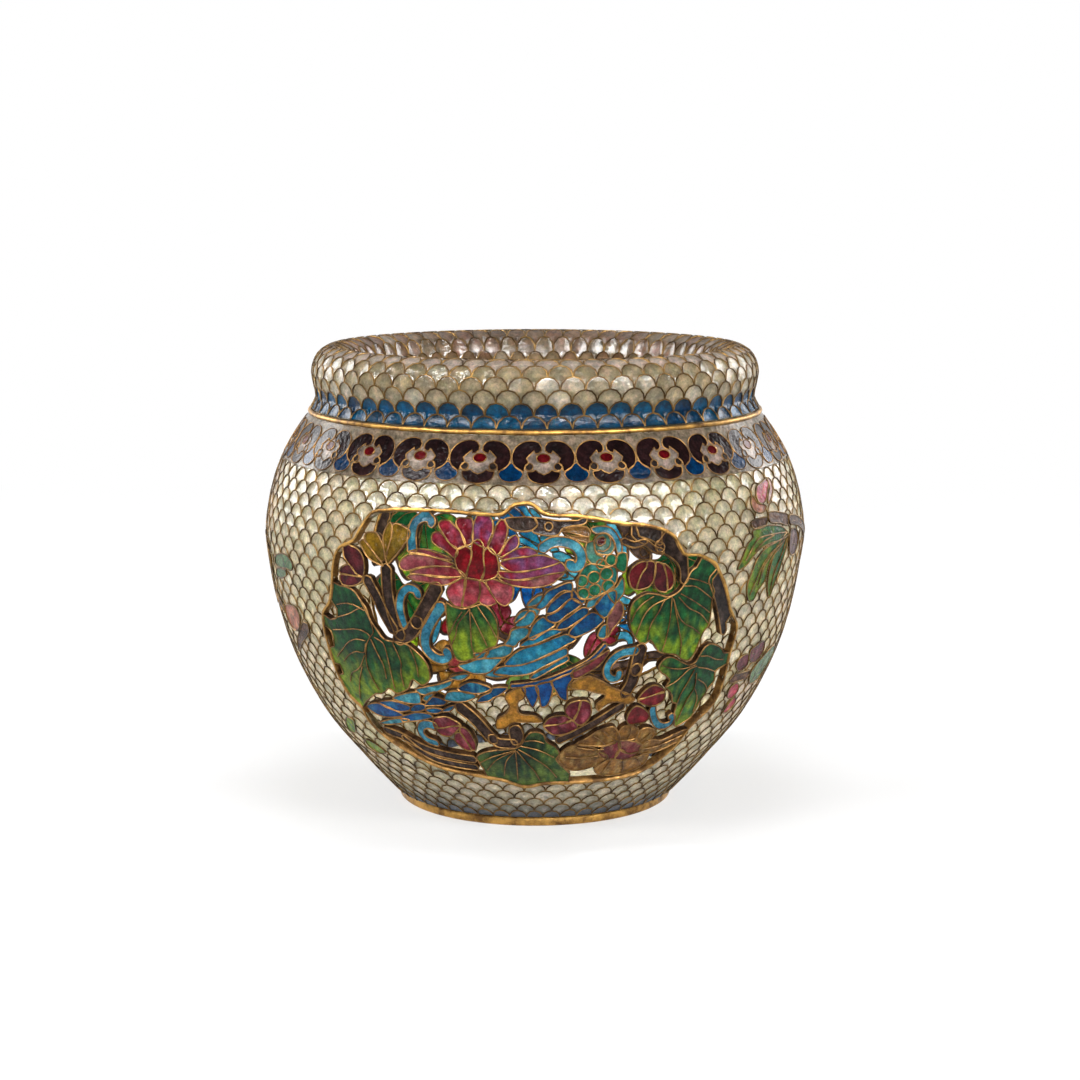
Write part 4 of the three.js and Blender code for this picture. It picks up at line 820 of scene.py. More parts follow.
        (BARK, stroke(2, [(-9.8, 21.6), (-8.4, 20.6), (-4.6, 20.4)])),
        (BARK, [(-5.6, 23.8), (-3.6, 24.5), (-2.5, 22.5), (-3.4, 20.5), (-5, 20.4)]),
    ],
    "branch_bottom": [
        (BARK, stroke(1.6, [(-38, 20.6), (-33.5, 19.9), (-28, 17.9), (-24, 17.1), (-19, 16.6),
            (-15.2, 16.4)])),
        (BARK, stroke(1.4, [(-33, 19.6), (-30, 17.2), (-27, 15.7), (-22.5, 14.9), (-15.2, 14.4)])),
    ],
}

# Wires that lie across a cell: leaf ribs and veins, and the bird's eye and feather lines
WINDOW_LINES = {
    "leaf_left": [
        [(-36, 48.6), (-35, 47), (-33.5, 44), (-33, 41.5), (-34, 40.5)],
        [(-34, 40.5), (-34.5, 41), (-36, 41.5), (-38, 41.5), (-41, 41), (-44.4, 40.5)],
        [(-35.5, 39.5), (-38, 39.5), (-40.5, 38.5), (-42.5, 37), (-45.2, 35)],
        [(-35.5, 39), (-36.5, 37), (-38.5, 37), (-41, 36), (-43.4, 34.3)],
        [(-36.5, 36.5), (-38.5, 34), (-40, 33), (-42, 32), (-43.4, 30.2)],
        [(-38, 34), (-39, 32.5), (-40.6, 30), (-42.2, 26.8)],
        [(-34, 40.5), (-35.5, 38.5), (-36.5, 34.5), (-36, 32), (-35, 29.6)],
        [(-34, 40), (-33, 37.5), (-32, 35), (-32, 32.4)],
        [(-33, 40.5), (-31, 39.5), (-30.5, 36), (-30.5, 33.5), (-30.5, 30.4)],
        [(-28.8, 40), (-28, 38), (-27.5, 36), (-28, 34), (-28, 31.2)],
        [(-25, 39.5), (-24.5, 38), (-24, 36), (-24, 33.6)],
        [(-35, 46), (-36.5, 45.5), (-38.5, 44.5), (-42.2, 43.3)],
        [(-34.5, 45.5), (-36.5, 46.2), (-39, 46.4), (-41.8, 45.8)],
    ],
    "leaf_middle": [
        [(-12, 47.6), (-14.5, 44.5), (-15, 42.5), (-16, 40.5)],
        [(-12, 47.6), (-12, 43), (-12, 40.5), (-11.4, 38.6)],
        [(-11.8, 47), (-10, 43), (-9, 40.6)],
        [(-10.5, 48.2), (-8.5, 45), (-7.2, 42.4)],
        [(-13.5, 47), (-15, 45), (-16.2, 42.6)],
    ],
    "leaf_right_upper": [
        [(26.5, 49), (25, 48.5), (24, 46.5), (22.5, 44), (22, 41)],
        [(26.5, 49), (26.5, 44.5), (26, 40), (25.6, 38.6)],
        [(26.8, 48.6), (28.5, 45), (30, 43.5), (32, 42.5), (34.2, 41)],
        [(28, 48.8), (30.5, 46.5), (33.5, 45), (35.7, 43)],
        [(28.4, 49.4), (31, 48), (34, 46.2), (35.8, 45)],
        [(29, 50.8), (31.5, 50.5), (34, 49), (36, 47.6)],
        [(29.8, 52.2), (32.5, 51.5), (35.2, 50.4)],
        [(25, 48.6), (22.5, 47.6), (21, 46), (20, 43.5), (19.6, 42.2)],
        [(22.6, 49.4), (20.8, 48.4), (19.2, 46.8), (18.4, 44.8)],
        [(27.2, 47.4), (29, 42), (29.8, 39.8), (30, 37.4)],
    ],
    "leaf_right_lower": [
        [(35, 34.5), (33, 34), (30.5, 32), (28.3, 31.1)],
        [(34.6, 33.8), (33.6, 31.2), (32.6, 29), (32.5, 27.2)],
        [(35.4, 33), (36, 30), (34.8, 27), (34.4, 23)],
        [(36, 30), (38, 27.4), (38.4, 24.6)],
        [(36.4, 31.6), (39, 30.2), (40.4, 28.8)],
        [(35.4, 34.2), (38, 33.6), (40.8, 32.6)],
        [(35.5, 36.4), (37.5, 36.2), (40, 35.2), (42.4, 34.8)],
        [(34.6, 34.8), (31.6, 34.4), (28.6, 34.8), (26.2, 35.6)],
    ],
    "leaf_bottom": [
        [(-4.5, 19), (-8, 18), (-11, 17), (-14, 15.6)],
        [(-4.8, 18.8), (-9.4, 16.6), (-12.4, 14)],
        [(-4.6, 18.8), (-7, 16.4), (-8.2, 12.8)],
        [(-4.5, 19), (-4.5, 15.6), (-4.6, 11.8)],
        [(-4.2, 18.8), (-2, 16.2), (0, 14), (1.4, 11.8)],
        [(-3.8, 19.2), (-0.6, 17.4), (3, 15.2), (6, 12.4)],
        [(-3.4, 20), (1, 19), (4.6, 17.4)],
        [(-2.6, 21), (0, 21.2), (2.2, 20.6)],
    ],
    "blossom_amber": [
        [(16, 17.2), (12, 16.9), (7.6, 17.2)],
        [(16.6, 18.6), (13.4, 18.8), (10, 19.4)],
        [(16.8, 19.6), (15.4, 20.8), (13.6, 21.8)],
        [(22, 20.6), (22.4, 21.8), (22, 23)],
        [(26, 19.6), (27, 20.4), (27.8, 21.4)],
        [(27, 17.7), (31, 17.8), (38.4, 19.4)],
        [(25.8, 15.9), (28, 14.9), (29.4, 13.8)],
        [(23, 15.3), (24, 14), (24.4, 12.7)],
        [(19.4, 15.6), (19, 14.2), (18.4, 12.9)],
    ],
    "bird_head": [
        [(10.9, 60), (11.2, 61), (12.2, 61.6), (13.4, 61.3), (14, 60.2), (13.7, 59), (12.6, 58.3),
            (11.5, 58.5)],
    ],
}

# Window edge, the middle of the gilt frame
WINDOW_EDGE = [
    (-20, 65.3), (-10, 65), (-6, 65.1), (-3.8, 66.7), (-0.6, 66.9), (1.8, 65.2), (9, 64.6), (16, 63.2),
    (22, 62.4), (26.5, 60.5), (28.6, 57), (32, 56.3), (35.5, 54.6), (38, 51.5), (40, 48), (41.6, 44.6),
    (44.3, 41.2), (44.1, 36), (44.8, 30), (44.9, 26.2), (42.6, 23.4), (40, 21.4), (37.8, 17), (34.6, 13.8),
    (30, 11.6), (22, 11), (12, 10.9), (3, 10.9), (-3, 10.1), (-9, 11.6), (-17, 12.5), (-26, 13.5),
    (-33, 15.8), (-39.5, 19), (-42.7, 22), (-43, 24.6), (-45.8, 26.8), (-47, 31), (-47.4, 38),
    (-46.8, 43.3), (-44, 46), (-42.5, 49.5), (-41.3, 54), (-39.6, 57), (-36, 58.8), (-34.6, 61.2),
    (-32, 64.2),
]
window_edge = smooth_line(WINDOW_EDGE, True, 0.8)


# Window pieces, made once for the front and turned round for the back
def turned_copy(mesh):
    other = mesh.copy()
    other.transform(Matrix.Rotation(math.pi, 4, "Z"))
    return other


ENAMELS = {
    "bird": (blue_enamel, "blue_enamel"),
    "leaf": (green_enamel, "green_enamel"),
    "branch": (brown_enamel, "brown_enamel"),
    "blossom_amber": (amber_enamel, "amber_enamel"),
    "bud_amber": (amber_enamel, "amber_enamel"),
}


def up_to_frame(outline, reach):
    """An outline whose points within reach of the frame lie against it."""
    reached = []
    for across, height in outline:
        edge = min(window_edge, key=lambda point: (point[0] - across) ** 2 + (point[1] - height) ** 2)
        gap = math.dist(edge, (across, height))
        share = FRAME_WIDTH / 2 / gap if 0.01 < gap < reach else 1
        reached.append((edge[0] + (across - edge[0]) * share, edge[1] + (height - edge[1]) * share))
    return reached


for piece_name, cells in WINDOW_CELLS.items():
    body = coloured_body()
    lines = []
    ribs = [smooth_line(line, step=0.8) for line in WINDOW_LINES.get(piece_name, ())]
    reach = 2 if piece_name.startswith(("leaf", "branch_right")) else 0.8
    for tint, corners in cells:
        outline = up_to_frame(smooth_line(corners, True, 0.55), reach)
        take_in(body, cell(grown(outline, 0.12), tint, wall_skin.window_point,
                           square=0.45 if ribs else 0.7, ribs=ribs))
        for depth in (-0.08, 0.08 - WALL):
            lines.append(([wall_skin.window_point(u, z, depth) for u, z in outline], True))
    take_in(body, wires(lines, WINDOW_WIRE), 2)
    if ribs:
        lines = [([wall_skin.window_point(u, z, depth) for u, z in line], False)
                 for line in ribs for depth in (-0.06, 0.06 - WALL)]
        take_in(body, wires(lines, RIB_WIRE), 2)
    found = [ENAMELS[key] for key in ENAMELS if piece_name.startswith(key)]
    colour, slot = found[0] if found else (rose_enamel, "rose_enamel")
    front = finished(body, piece_name)
    for side, mesh in (("front_", front), ("back_", turned_copy(front))):
        add_piece(side + piece_name + "_enamel", mesh, [colour, cell_side_copper_and_shade, window_wire], slot,
                  side + piece_name)


# Gilt frames round the windows
def frame_back(spot):
    spot.z = -WALL - FRAME_PROUD


frame_body = bmesh.new()
for half in (FRAME_WIDTH / 2, -FRAME_WIDTH / 2):
    add_ring(frame_body, [(u, z, FRAME_PROUD) for u, z in grown(window_edge, half)])
bmesh.ops.bridge_loops(frame_body, edges=frame_body.edges[:])
add_back(frame_body, frame_back)
for face in frame_body.faces:
    if abs(face.normal.z) < 0.5:
        face.material_index = 1
rims = [edge for edge in frame_body.edges
        if edge.calc_face_angle(0) > 1 and abs(edge.verts[0].co.z - edge.verts[1].co.z) < 0.1]
bmesh.ops.bevel(frame_body, geom=rims, offset=0.2, segments=2, profile=0.5, affect="EDGES", material=-1)
for vert in frame_body.verts:
    wobble = noise.noise(Vector((vert.co.x * 0.6, vert.co.y * 0.6, 3))) * 0.12
    vert.co = wall_skin.window_point(vert.co.x + wobble, vert.co.y + wobble, vert.co.z + wobble * 0.5)
front = finished(frame_body, "frame")
add_piece("front_frame_gilt", front, [gilt, window_wire], "gilt_metal", "front_frame")
add_piece("back_frame_gilt", turned_copy(front), [gilt, window_wire], "gilt_metal", "back_frame")


# Sprays laid in the ground between the windows: the cells seen beside a window, and what lies between
SIDE_GREEN = Tint((24, 88, 46), (118, 144, 34), (60, 58), 5, 15, fleck=(50, 108, 52))
PALE_GREEN = Tint((84, 116, 72), fleck=(52, 92, 56))
SIDE_PINK = Tint((176, 52, 76), fleck=(200, 112, 120))
PALE_PINK = Tint((184, 134, 126), fleck=(196, 96, 108))
SIDE_MAROON = Tint((92, 34, 46), fleck=(124, 60, 72))
ORANGE = Tint((166, 92, 66), fleck=(196, 140, 104))
SIDE_BARK = Tint((76, 52, 42), fleck=(100, 74, 60))
PLUM = Tint((98, 78, 82), fleck=(124, 100, 98))
LEAF_FINGERS = [
    [(46.5, 58.9), (49, 59.4), (52.7, 59.3), (57.7, 58.3), (60.1, 57), (57.4, 56.6), (52.2, 56.5),
        (48.1, 55.9), (45.8, 54.5), (44, 53.2), (41.9, 52.8), (42.8, 53.7), (44, 55.8), (45, 57),
        (46.7, 57.9)],
    [(58.3, 56.1), (54.5, 55.8), (50.5, 55.2), (48.1, 53.8), (46.8, 51.6), (45.7, 49.1), (46.5, 46.3),
        (47.9, 46), (49.2, 47.8), (51.3, 49.5), (51.7, 51.7), (53.2, 53.8), (56.3, 55.3)],
    [(60.1, 56.9), (59.4, 54.9), (58.4, 53.1), (57.2, 50.9), (56, 49.1), (55.1, 47.3), (54.4, 45.6),
        (53, 48), (53, 50.4), (53.7, 53), (55.3, 55.1)],
]
FINGER_RIBS = [
    [(59.4, 57.4), (53, 57.8), (47.6, 57.4), (44, 54)],
    [(54, 57.6), (49.6, 56.8), (46.8, 55.4)],
    [(58.2, 56), (51.6, 53.8), (48.6, 50.6), (46.6, 47)],
    [(54, 54.8), (50.4, 52), (49, 48.6)],
    [(59.6, 56.2), (56.8, 52.8), (54.8, 49.8), (54.3, 46.6)],
]

# The places across of the spray's two ends, added up, and how much lower its far end hangs
SPRAY_ENDS = 140.5
SPRAY_DROP = 5


def far_end(line):
    """A line of the spray's near leaves at the far end of its stem, facing back and a little lower."""
    return [(SPRAY_ENDS - u, z - SPRAY_DROP) for u, z in line]


near_leaves = [grown(finger, 0.3) for finger in LEAF_FINGERS]
far_leaves = [far_end(leaf) for leaf in near_leaves]
SIDE_CELLS = {
    "leaves": [(SIDE_GREEN, leaf) for leaf in near_leaves + far_leaves] + [
        (PALE_GREEN, [(65, 33.9), (59.4, 32.5), (55.8, 30.3), (57.9, 27.4), (63.2, 27.2), (66.3, 29.5),
            (69.5, 31.4)]),
        (PALE_GREEN, [(103.6, 51.5), (108.3, 53), (112.1, 52.9), (113.9, 51.7), (113.1, 50.4), (110, 50.3),
            (105.9, 49.9), (103.3, 50.3)]),
        (PALE_GREEN, [(103.7, 49.3), (109.9, 49.9), (110.1, 49), (105.1, 47.6), (102.6, 48)]),
        (SIDE_GREEN, [(117.4, 21.2), (120.2, 21), (117, 17.8), (113.6, 17.6), (114.1, 19.1)]),
        (SIDE_GREEN, [(119.7, 16.7), (123.8, 16.5), (126.1, 14.9), (122.2, 14), (119.1, 15.1)]),
    ],
    "buds": [
        (SIDE_PINK, [(50.7, 67), (53, 67.6), (55.2, 68), (55.8, 67.3), (54.4, 66), (53.2, 64.6),
            (51.6, 63.8), (49.9, 64.3), (49.7, 65.6)]),
        (PALE_PINK, [(55.6, 68.2), (57, 67.6), (56.8, 66), (55, 64.3), (53.4, 63.6), (54, 64.9),
            (55.7, 66.5)]),
        (ORANGE, [(48.2, 65.7), (48.8, 65.1), (49.4, 64.1), (51.3, 63.7), (52.4, 63.2), (51.4, 62.3),
            (49.3, 62.3), (47.8, 63), (47.4, 64.2)]),
        (PLUM, [(61.8, 57.2), (65.4, 57.2), (67.2, 54.9), (66.2, 52.7), (63.6, 52.3), (61.2, 53.8)]),
        (SIDE_MAROON, [(57.2, 36.2), (58.3, 33.9), (56.1, 32.1), (52.6, 33.1), (51.6, 35.2), (53.7, 35.9)]),
        (SIDE_MAROON, [(51.1, 34.6), (52.2, 32.3), (49.7, 31.3), (47.5, 32.8), (48, 34.3)]),
        (SIDE_PINK, [(50, 28.8), (48.4, 27.8), (48.8, 26.2), (51.3, 25.4), (52.9, 26.6), (52.2, 28)]),
        (SIDE_PINK, [(53, 25.4), (51.3, 24.1), (50.7, 22.5), (53, 22.3), (54.8, 23.9)]),
        (ORANGE, [(104.5, 41.9), (109.3, 42.9), (112.2, 42.6), (112.9, 40.9), (110.1, 38), (106.3, 37.7),
            (104.3, 39.4)]),
    ],
    "branches": [
        (SIDE_BARK, [(52.7, 61.7), (54.9, 61.9), (58.7, 61.2), (61.5, 60.4), (60.8, 58.6), (57.1, 59.4),
            (52.9, 60.2)]),
        (SIDE_BARK, [(46.3, 60.9), (48.7, 61.3), (52.2, 61.1), (51.3, 59.8), (48, 59.5), (46.5, 59.9)]),
        (SIDE_BARK, stroke(1.9, [(62.6, 59.4), (68, 58.4), (76, 55.4), (84, 50), (92, 45.6), (102.6, 41)])),
        (SIDE_BARK, stroke(1.8, [(47.7, 30), (51, 29.9), (54.6, 29.8)])),
        (SIDE_BARK, [(113.9, 40.2), (116.1, 40.1), (115.8, 38.6), (110.8, 35.7), (105.4, 33), (107, 35.4),
            (111, 38.1)]),
    ],
}
SIDE_ENAMELS = {"leaves": (green_enamel, "green_enamel"), "buds": (rose_enamel, "rose_enamel"),
                "branches": (brown_enamel, "brown_enamel")}


def side_point(turn):
    def place(across, height, depth=0):
        return wall_skin.point(across / BELLY_RADIUS + turn, wall_skin.along_at(height), depth)
    return place


for group, cells in SIDE_CELLS.items():
    body = coloured_body()
    lines = []
    ribs = [smooth_line(line, step=0.8) for line in FINGER_RIBS] if group == "leaves" else []
    ribs += [far_end(line) for line in ribs]
    for turn in (0, math.pi):
        place = side_point(turn)
        for tint, corners in cells:
            outline = smooth_line(corners, True, 0.8)
            take_in(body, cell(outline, tint, place, 0.1, 0.5, 0.03, 0.6 if ribs else 1.2, ribs))
            lines.append(([place(u, z, 0.09) for u, z in outline], True))
        lines += [([place(u, z, 0.1) for u, z in line], False) for line in ribs]
    take_in(body, wires(lines, GROUND_WIRE), 2)
    colour, slot = SIDE_ENAMELS[group]
    add_piece("side_" + group, finished(body, "side " + group), [colour, cell_side_copper_and_shade, ground_wire], slot)

# Scale ground: steps of a scale's arc, the angle where a sheet of scales starts and ends, and an area
ARC_STEPS = 6
SEAM = -math.pi / 2
SLIVER = 2


def hand_shift(angle, height):
    """How far the hand-laid ground strays, in scale widths and millimetres."""
    around = Vector((math.cos(angle) * 4, math.sin(angle) * 4, height * 0.12))
    return noise.noise(around) * 0.14, noise.noise(around + Vector((7, 3, 1))) * 0.35


def height_on(line, turn):
    i = bisect.bisect(line, (turn, 1e9)) - 1
    (start, low), (end, high) = line[i], line[i + 1]
    return low + (high - low) * (turn - start) / (end - start)


def between(line, start, end):
    """The places of a line strictly between two turns."""
    return line[bisect.bisect(line, (start + 1e-6, 0)):bisect.bisect(line, (end - 1e-6, 0))]


def scale_rows(plan, length):
    """Scales row by row from the foot: a plan gives scales in a turn and rows. Each scale is its arc and
    the line below it, as parts of a turn and heights; the last row ends straight and has no arcs."""
    order = [turns for turns, count in plan for _ in range(count)]
    rows = []
    below = [(-1, 0), (2, 0)]
    for number, turns in enumerate(order):
        top = (number + 1) / len(order) * length
        following = order[min(number + 1, len(order) - 1)]
        shift = 0.5 * (number % 2)
        row = []
        for column in range(turns):
            middle, half = (column + shift) / turns, 0.5 / turns
            feet = height_on(below, middle - half), height_on(below, middle + half)
            arc = []
            for k in range(ARC_STEPS + 1):
                turn = math.pi * k / ARC_STEPS
                foot = mixed(feet[:1], feet[1:], (1 - math.cos(turn)) / 2)[0]
                arc.append((middle - half * math.cos(turn), foot + (top - foot) * math.sin(turn)))
            if following != turns:
                # Where the count changes, the feet of the next row are points of this one too
                next_shift = 0.5 * ((number + 1) % 2)
                for foot in range(following + 1):
                    turn = (foot + next_shift - 0.5) / following
                    if arc[0][0] + 1e-4 < turn < arc[-1][0] - 1e-4:
                        arc.append((turn, height_on(arc + [(9, 0)], turn)))
                        arc.sort()
            row.append((arc, between(below, middle - half, middle + half)))
        rows.append(row)
        line = [place for arc, _ in row for place in arc[:-1]]
        below = [(turn + whole, height) for whole in (-1, 0, 1) for turn, height in line]
    last = []
    for column in range(order[-1]):
        middle, half = (column + 0.5 * (len(order) % 2)) / order[-1], 0.5 / order[-1]
        start, end = middle - half, middle + half
        last.append(([(start, length), (end, length)], between(below, start, end)))
    return rows + [last]


def ground(skin, plan, length, start, way, tint_of, cut_outs=()):
    """The enamel scales on a skin and the arcs of their wires, left out inside the cut-outs. The rows go
    up the section from start, or down it where way is -1."""
    rows = scale_rows(plan, length)
    step = length / (len(rows) - 1)

    def place(turn, height):
        angle = SEAM + turn * 2 * math.pi
        stray, lift = hand_shift(angle, height)
        fade = max(min(height / step, (length - height) / step, 1), 0)
        return angle + stray * fade * 2 * math.pi / WALL_SCALES, start + way * (height + lift * fade)

    boxes = []
    for outline in cut_outs:
        boxes.append((min(u for u, _ in outline), max(u for u, _ in outline),
                      min(z for _, z in outline), max(z for _, z in outline), outline))

    def cut_at(angle, along):
        """The cut-out that a place lies in, and the place on the sheet."""
        across, height = angle * BELLY_RADIUS, skin.at(along)[1]
        for low, high, foot, top, outline in boxes:
            if low < across < high and foot < height < top and inside(across, height, outline):
                return outline, across, height
        return None

    def moved_out(angle, along):
        """A place moved to the nearest edge of the cut-out that it lies in, and whether it lay in one."""
        found = cut_at(angle, along)
        if not found:
            return angle, along, False
        outline, across, height = found
        best = min(outline, key=lambda point: (point[0] - across) ** 2 + (point[1] - height) ** 2)
        return best[0] / BELLY_RADIUS, skin.along_at(best[1]), True

    sheet = bmesh.new()
    layer = sheet.loops.layers.float_color.new("tint")
    arcs = []
    for number, row in enumerate(rows):
        for arc, foot_line in row:
            spots = [moved_out(*place(turn, height)) for turn, height in foot_line + arc[::-1]]
            if not all(spot[2] for spot in spots):
                corners = [sheet.verts.new((angle * BELLY_RADIUS, along, 0)) for angle, along, _ in spots]
                face = sheet.faces.new(corners)
                face.normal_update()
                if face.normal.z < 0:
                    face.normal_flip()
                middle = face.calc_center_median()
                red, green, blue, _ = tint_of(middle.x / BELLY_RADIUS, middle.y, number)
                face.material_index = int(blue > 3 * red)
                for loop in face.loops:
                    loop[layer] = (red, green, blue, 1)
            if number == len(rows) - 1:
                continue
            run = []
            for turn, height in arc:
                angle, along = place(turn, height)
                if cut_at(angle, along):
                    if len(run) > 1:
                        arcs.append(run)
                    run = []
                else:
                    run.append((angle, along))
            if len(run) > 1:
                arcs.append(run)

    # Scales that a cut-out leaves smaller than this stay flat
    whole = [face for face in sheet.faces if face.calc_area() > SLIVER]
    bmesh.ops.inset_individual(sheet, faces=whole, thickness=RIM, depth=-SCALE_DISH, use_even_offset=False)
    bmesh.ops.poke(sheet, faces=whole, offset=-SCALE_MIDDLE)
    bmesh.ops.remove_doubles(sheet, verts=sheet.verts, dist=0.01)
    # Each scale gets painted shade along its wires and painted light in its middle
    for face in sheet.faces:
        for loop in face.loops:
            sunk = -loop.vert.co.z
            share = EDGE_PAINTED_SHADE if sunk < 0.05 else DISH_PAINTED_SHADE if sunk < 0.135 else MIDDLE_PAINTED_LIGHT
            loop[layer] = (*(value * part for value, part in zip(loop[layer], share)), 1)
    for vert in sheet.verts:
        vert.co.z -= 0.04

    def to_back(spot):
        spot.z = -WALL - spot.z

    add_back(sheet, to_back)

    # The two ends of the sheet meet without a wall between them
    first, last = SEAM * BELLY_RADIUS, (SEAM + 2 * math.pi) * BELLY_RADIUS
    low, high = sorted((start, start + way * length))
    ends = []
    for face in sheet.faces:
        middle = face.calc_center_median()
        upright = abs(face.normal.z) < 0.3 and low + 0.05 < middle.y < high - 0.05
        if upright and min(middle.x - first, last - middle.x) < 6:
            ends.append(face)
    bmesh.ops.delete(sheet, geom=ends, context="FACES")
    for vert in sheet.verts:
        vert.co = skin.point(vert.co.x / BELLY_RADIUS, vert.co.y, vert.co.z)
    bmesh.ops.remove_doubles(sheet, verts=sheet.verts, dist=0.01 * MM)
    bmesh.ops.recalc_face_normals(sheet, faces=sheet.faces)
    return sheet, arcs


def add_arc_wires(name, skin, arcs, depth, sides):
    lines = [([skin.point(angle, along, depth) for angle, along in run], False) for run in arcs]
    add_piece(name, wires(lines, GROUND_WIRE, sides), [ground_wire], "gilt_metal")


back_edge = [(u + math.pi * BELLY_RADIUS, z) for u, z in window_edge]
GREY = tone(196, 188, 164)
SAGE = tone(188, 182, 150)
LILAC = tone(204, 186, 182)
PEARL = tone(240, 238, 230)
DEEP_BLUE = tone(10, 52, 92)
RIM_BLUE = tone(0, 46, 82)
RIM_SKY = tone(2, 76, 116)
RIM_GREY = tone(162, 149, 120)
INSIDE_SHADE = 0.62


def shaded(base, shade):
    return (base[0] * shade, base[1] * shade, base[2] * shade, 1)


def wall_tint(angle, along, row):
    spot = Vector((math.cos(angle) * 3, math.sin(angle) * 3, along * 0.07))
    base = mixed(GREY, SAGE, min(max(noise.noise(spot) * 1.6 + 0.4, 0), 1))
    blush = min(max(noise.noise(spot + Vector((5, 1, 9))) * 1.3, 0), 0.6)
    base = mixed(base, LILAC, blush * min(along / 30, 1))
    if rng.random() < 0.12:
        base = mixed(base, PEARL, 0.35)
    if row < 2:
        base = mixed(base, DEEP_BLUE, 0.9 - 0.5 * row)
    # Random tone, and darker towards the foot
    shade = rng.uniform(0.8, 1.1) * (0.46 + 0.54 * min(along / 18, 1))
    return shaded(base, shade)


def collar_tint(angle, along, row):
    shade = rng.uniform(0.82, 1.16)
    base = mixed(RIM_BLUE, RIM_SKY, rng.random()) if row < BLUE_ROWS else RIM_GREY
    if row >= BLUE_ROWS and rng.random() < 0.1:
        base = mixed(base, PEARL, 0.3)
    # The collar's top rows are paler and lilac: a painted reflection of the white room on the crest
    if row > 4:
        base = mixed(base, LILAC, 0.6)
    return shaded(base, shade)


def inner_collar_tint(angle, along, row):
    red, green, blue, _ = collar_tint(angle, along, BLUE_ROWS)
    blush = rng.uniform(0.05, 0.35)
    return (red * INSIDE_SHADE, green * INSIDE_SHADE * (1 - blush), blue * INSIDE_SHADE * (1 - blush), 1)


wall_length = wall_skin.along_at(WALL_TOP)
sheet, arcs = ground(wall_skin, WALL_PLAN, wall_length, 0, 1, wall_tint, (window_edge, back_edge))
scale_enamels = [clear_enamel, blue_scale]
add_piece("wall_scales", finished(sheet, "wall scales"), scale_enamels, "clear_enamel", "body_wall")
add_arc_wires("wall_scale_wires", wall_skin, arcs, -0.06, 1)
add_arc_wires("wall_inner_wires", wall_skin, arcs, 0.02 - WALL, 0)

# The collar's rows climb to its top from outside and from inside
collar_top = max(range(len(collar_skin.rows)), key=lambda k: collar_skin.rows[k][1]) * collar_skin.STEP
for name, rows, length, start, way in (
    ("outer", 6, collar_top, 0, 1),
    ("inner", 3, collar_skin.length - collar_top, collar_skin.length, -1),
):
    sheet, arcs = ground(collar_skin, [(COLLAR_SCALES, rows)], length, start, way,
                         collar_tint if way > 0 else inner_collar_tint)
    scales = finished(sheet, "collar scales")
    add_piece("collar_scales_" + name, scales, scale_enamels, "clear_enamel", "rim_collar")
    add_arc_wires("collar_wires_" + name, collar_skin, arcs, -0.06, 1)

# Shoulder band of ruyi heads, drawn in millimetres from the middle of a head and the foot of the band
RUYI_HEADS = 26
FIRST_HEAD = math.radians(1.95)
HEAD_STEP = 2 * math.pi / RUYI_HEADS
BAND_RADIUS = 48.3
HEAD_RISE = 0.5
band_start = wall_skin.along_at(BAND_FOOT)
band_length = wall_skin.along_at(BAND_TOP) - band_start
BLACK_WINE = Tint((36, 18, 18), fleck=(52, 30, 32))
OVAL_RED = Tint((100, 8, 16))
DROP_BLUE = Tint((0, 54, 100), fleck=(14, 98, 150))
SMALL_DARK = Tint((58, 48, 44))
PEARL_PINK = Tint((166, 148, 134), fleck=(196, 184, 170))
CURL = [(-0.3, 7.1), (-0.8, 7.9), (-2.2, 8.3), (-4, 7.9), (-5.3, 6.7), (-5.75, 5), (-5.3, 3.3), (-4.3, 2.3),
    (-3.5, 2.1), (-3.4, 3), (-2.7, 3.8), (-3.1, 4.7), (-2.6, 5.3), (-1.9, 6), (-1.7, 6.2), (-1.5, 5.6),
    (-0.9, 5.7), (-0.35, 6.2)]
LOBE = [(-2.9, 2), (-2, 2.1), (-1.4, 2.4), (-0.9, 1.9), (0, 1.5), (0.9, 1.9), (1.4, 2.4), (2, 2.1),
    (2.9, 2), (2.7, 0.9), (1.9, 0.1), (0, -0.35), (-1.9, 0.1), (-2.7, 0.9)]
DROP = [(0, 3.8), (0.9, 2.9), (1.8, 2.3), (2.2, 1.6), (1.7, 0.6), (0.7, 0.1), (-0.7, 0.1), (-1.7, 0.6),
    (-2.2, 1.6), (-1.8, 2.3), (-0.9, 2.9)]
HEAD_CELLS = [
    (BLACK_WINE, CURL),
    (BLACK_WINE, [(-x, y) for x, y in CURL]),
    (BLACK_WINE, LOBE),
    (OVAL_RED, [(1.3 * x, 4.7 + 0.95 * y) for x, y in circle(0, 0, 1)]),
    (SMALL_DARK, circle(-2.6, 3, 0.75, 10)),
    (SMALL_DARK, circle(2.6, 3, 0.75, 10)),
    (DROP_BLUE, [(x + BAND_RADIUS * HEAD_STEP / 2, y) for x, y in DROP]),
]
HEAD_FIELD = [(-3, 3.8), (-3.5, 4.7), (-2.9, 5.4), (-2.1, 6.4), (-1.7, 6.5), (-1.5, 5.9), (-1, 5.8),
    (-0.4, 6.4), (0.4, 6.4), (1, 5.8), (1.5, 5.9), (1.7, 6.5), (2.1, 6.4), (2.9, 5.4), (3.5, 4.7), (3, 3.8),
    (1.8, 3.4), (1.9, 2.5), (1.4, 2.4), (0.9, 1.9), (0, 1.5), (-0.9, 1.9), (-1.4, 2.4), (-1.9, 2.5),
    (-1.8, 3.4)]


def band_point(middle):
    def place(across, along, depth=0):
        return wall_skin.point(middle + across / BAND_RADIUS, band_start + HEAD_RISE + along, depth)
    return place


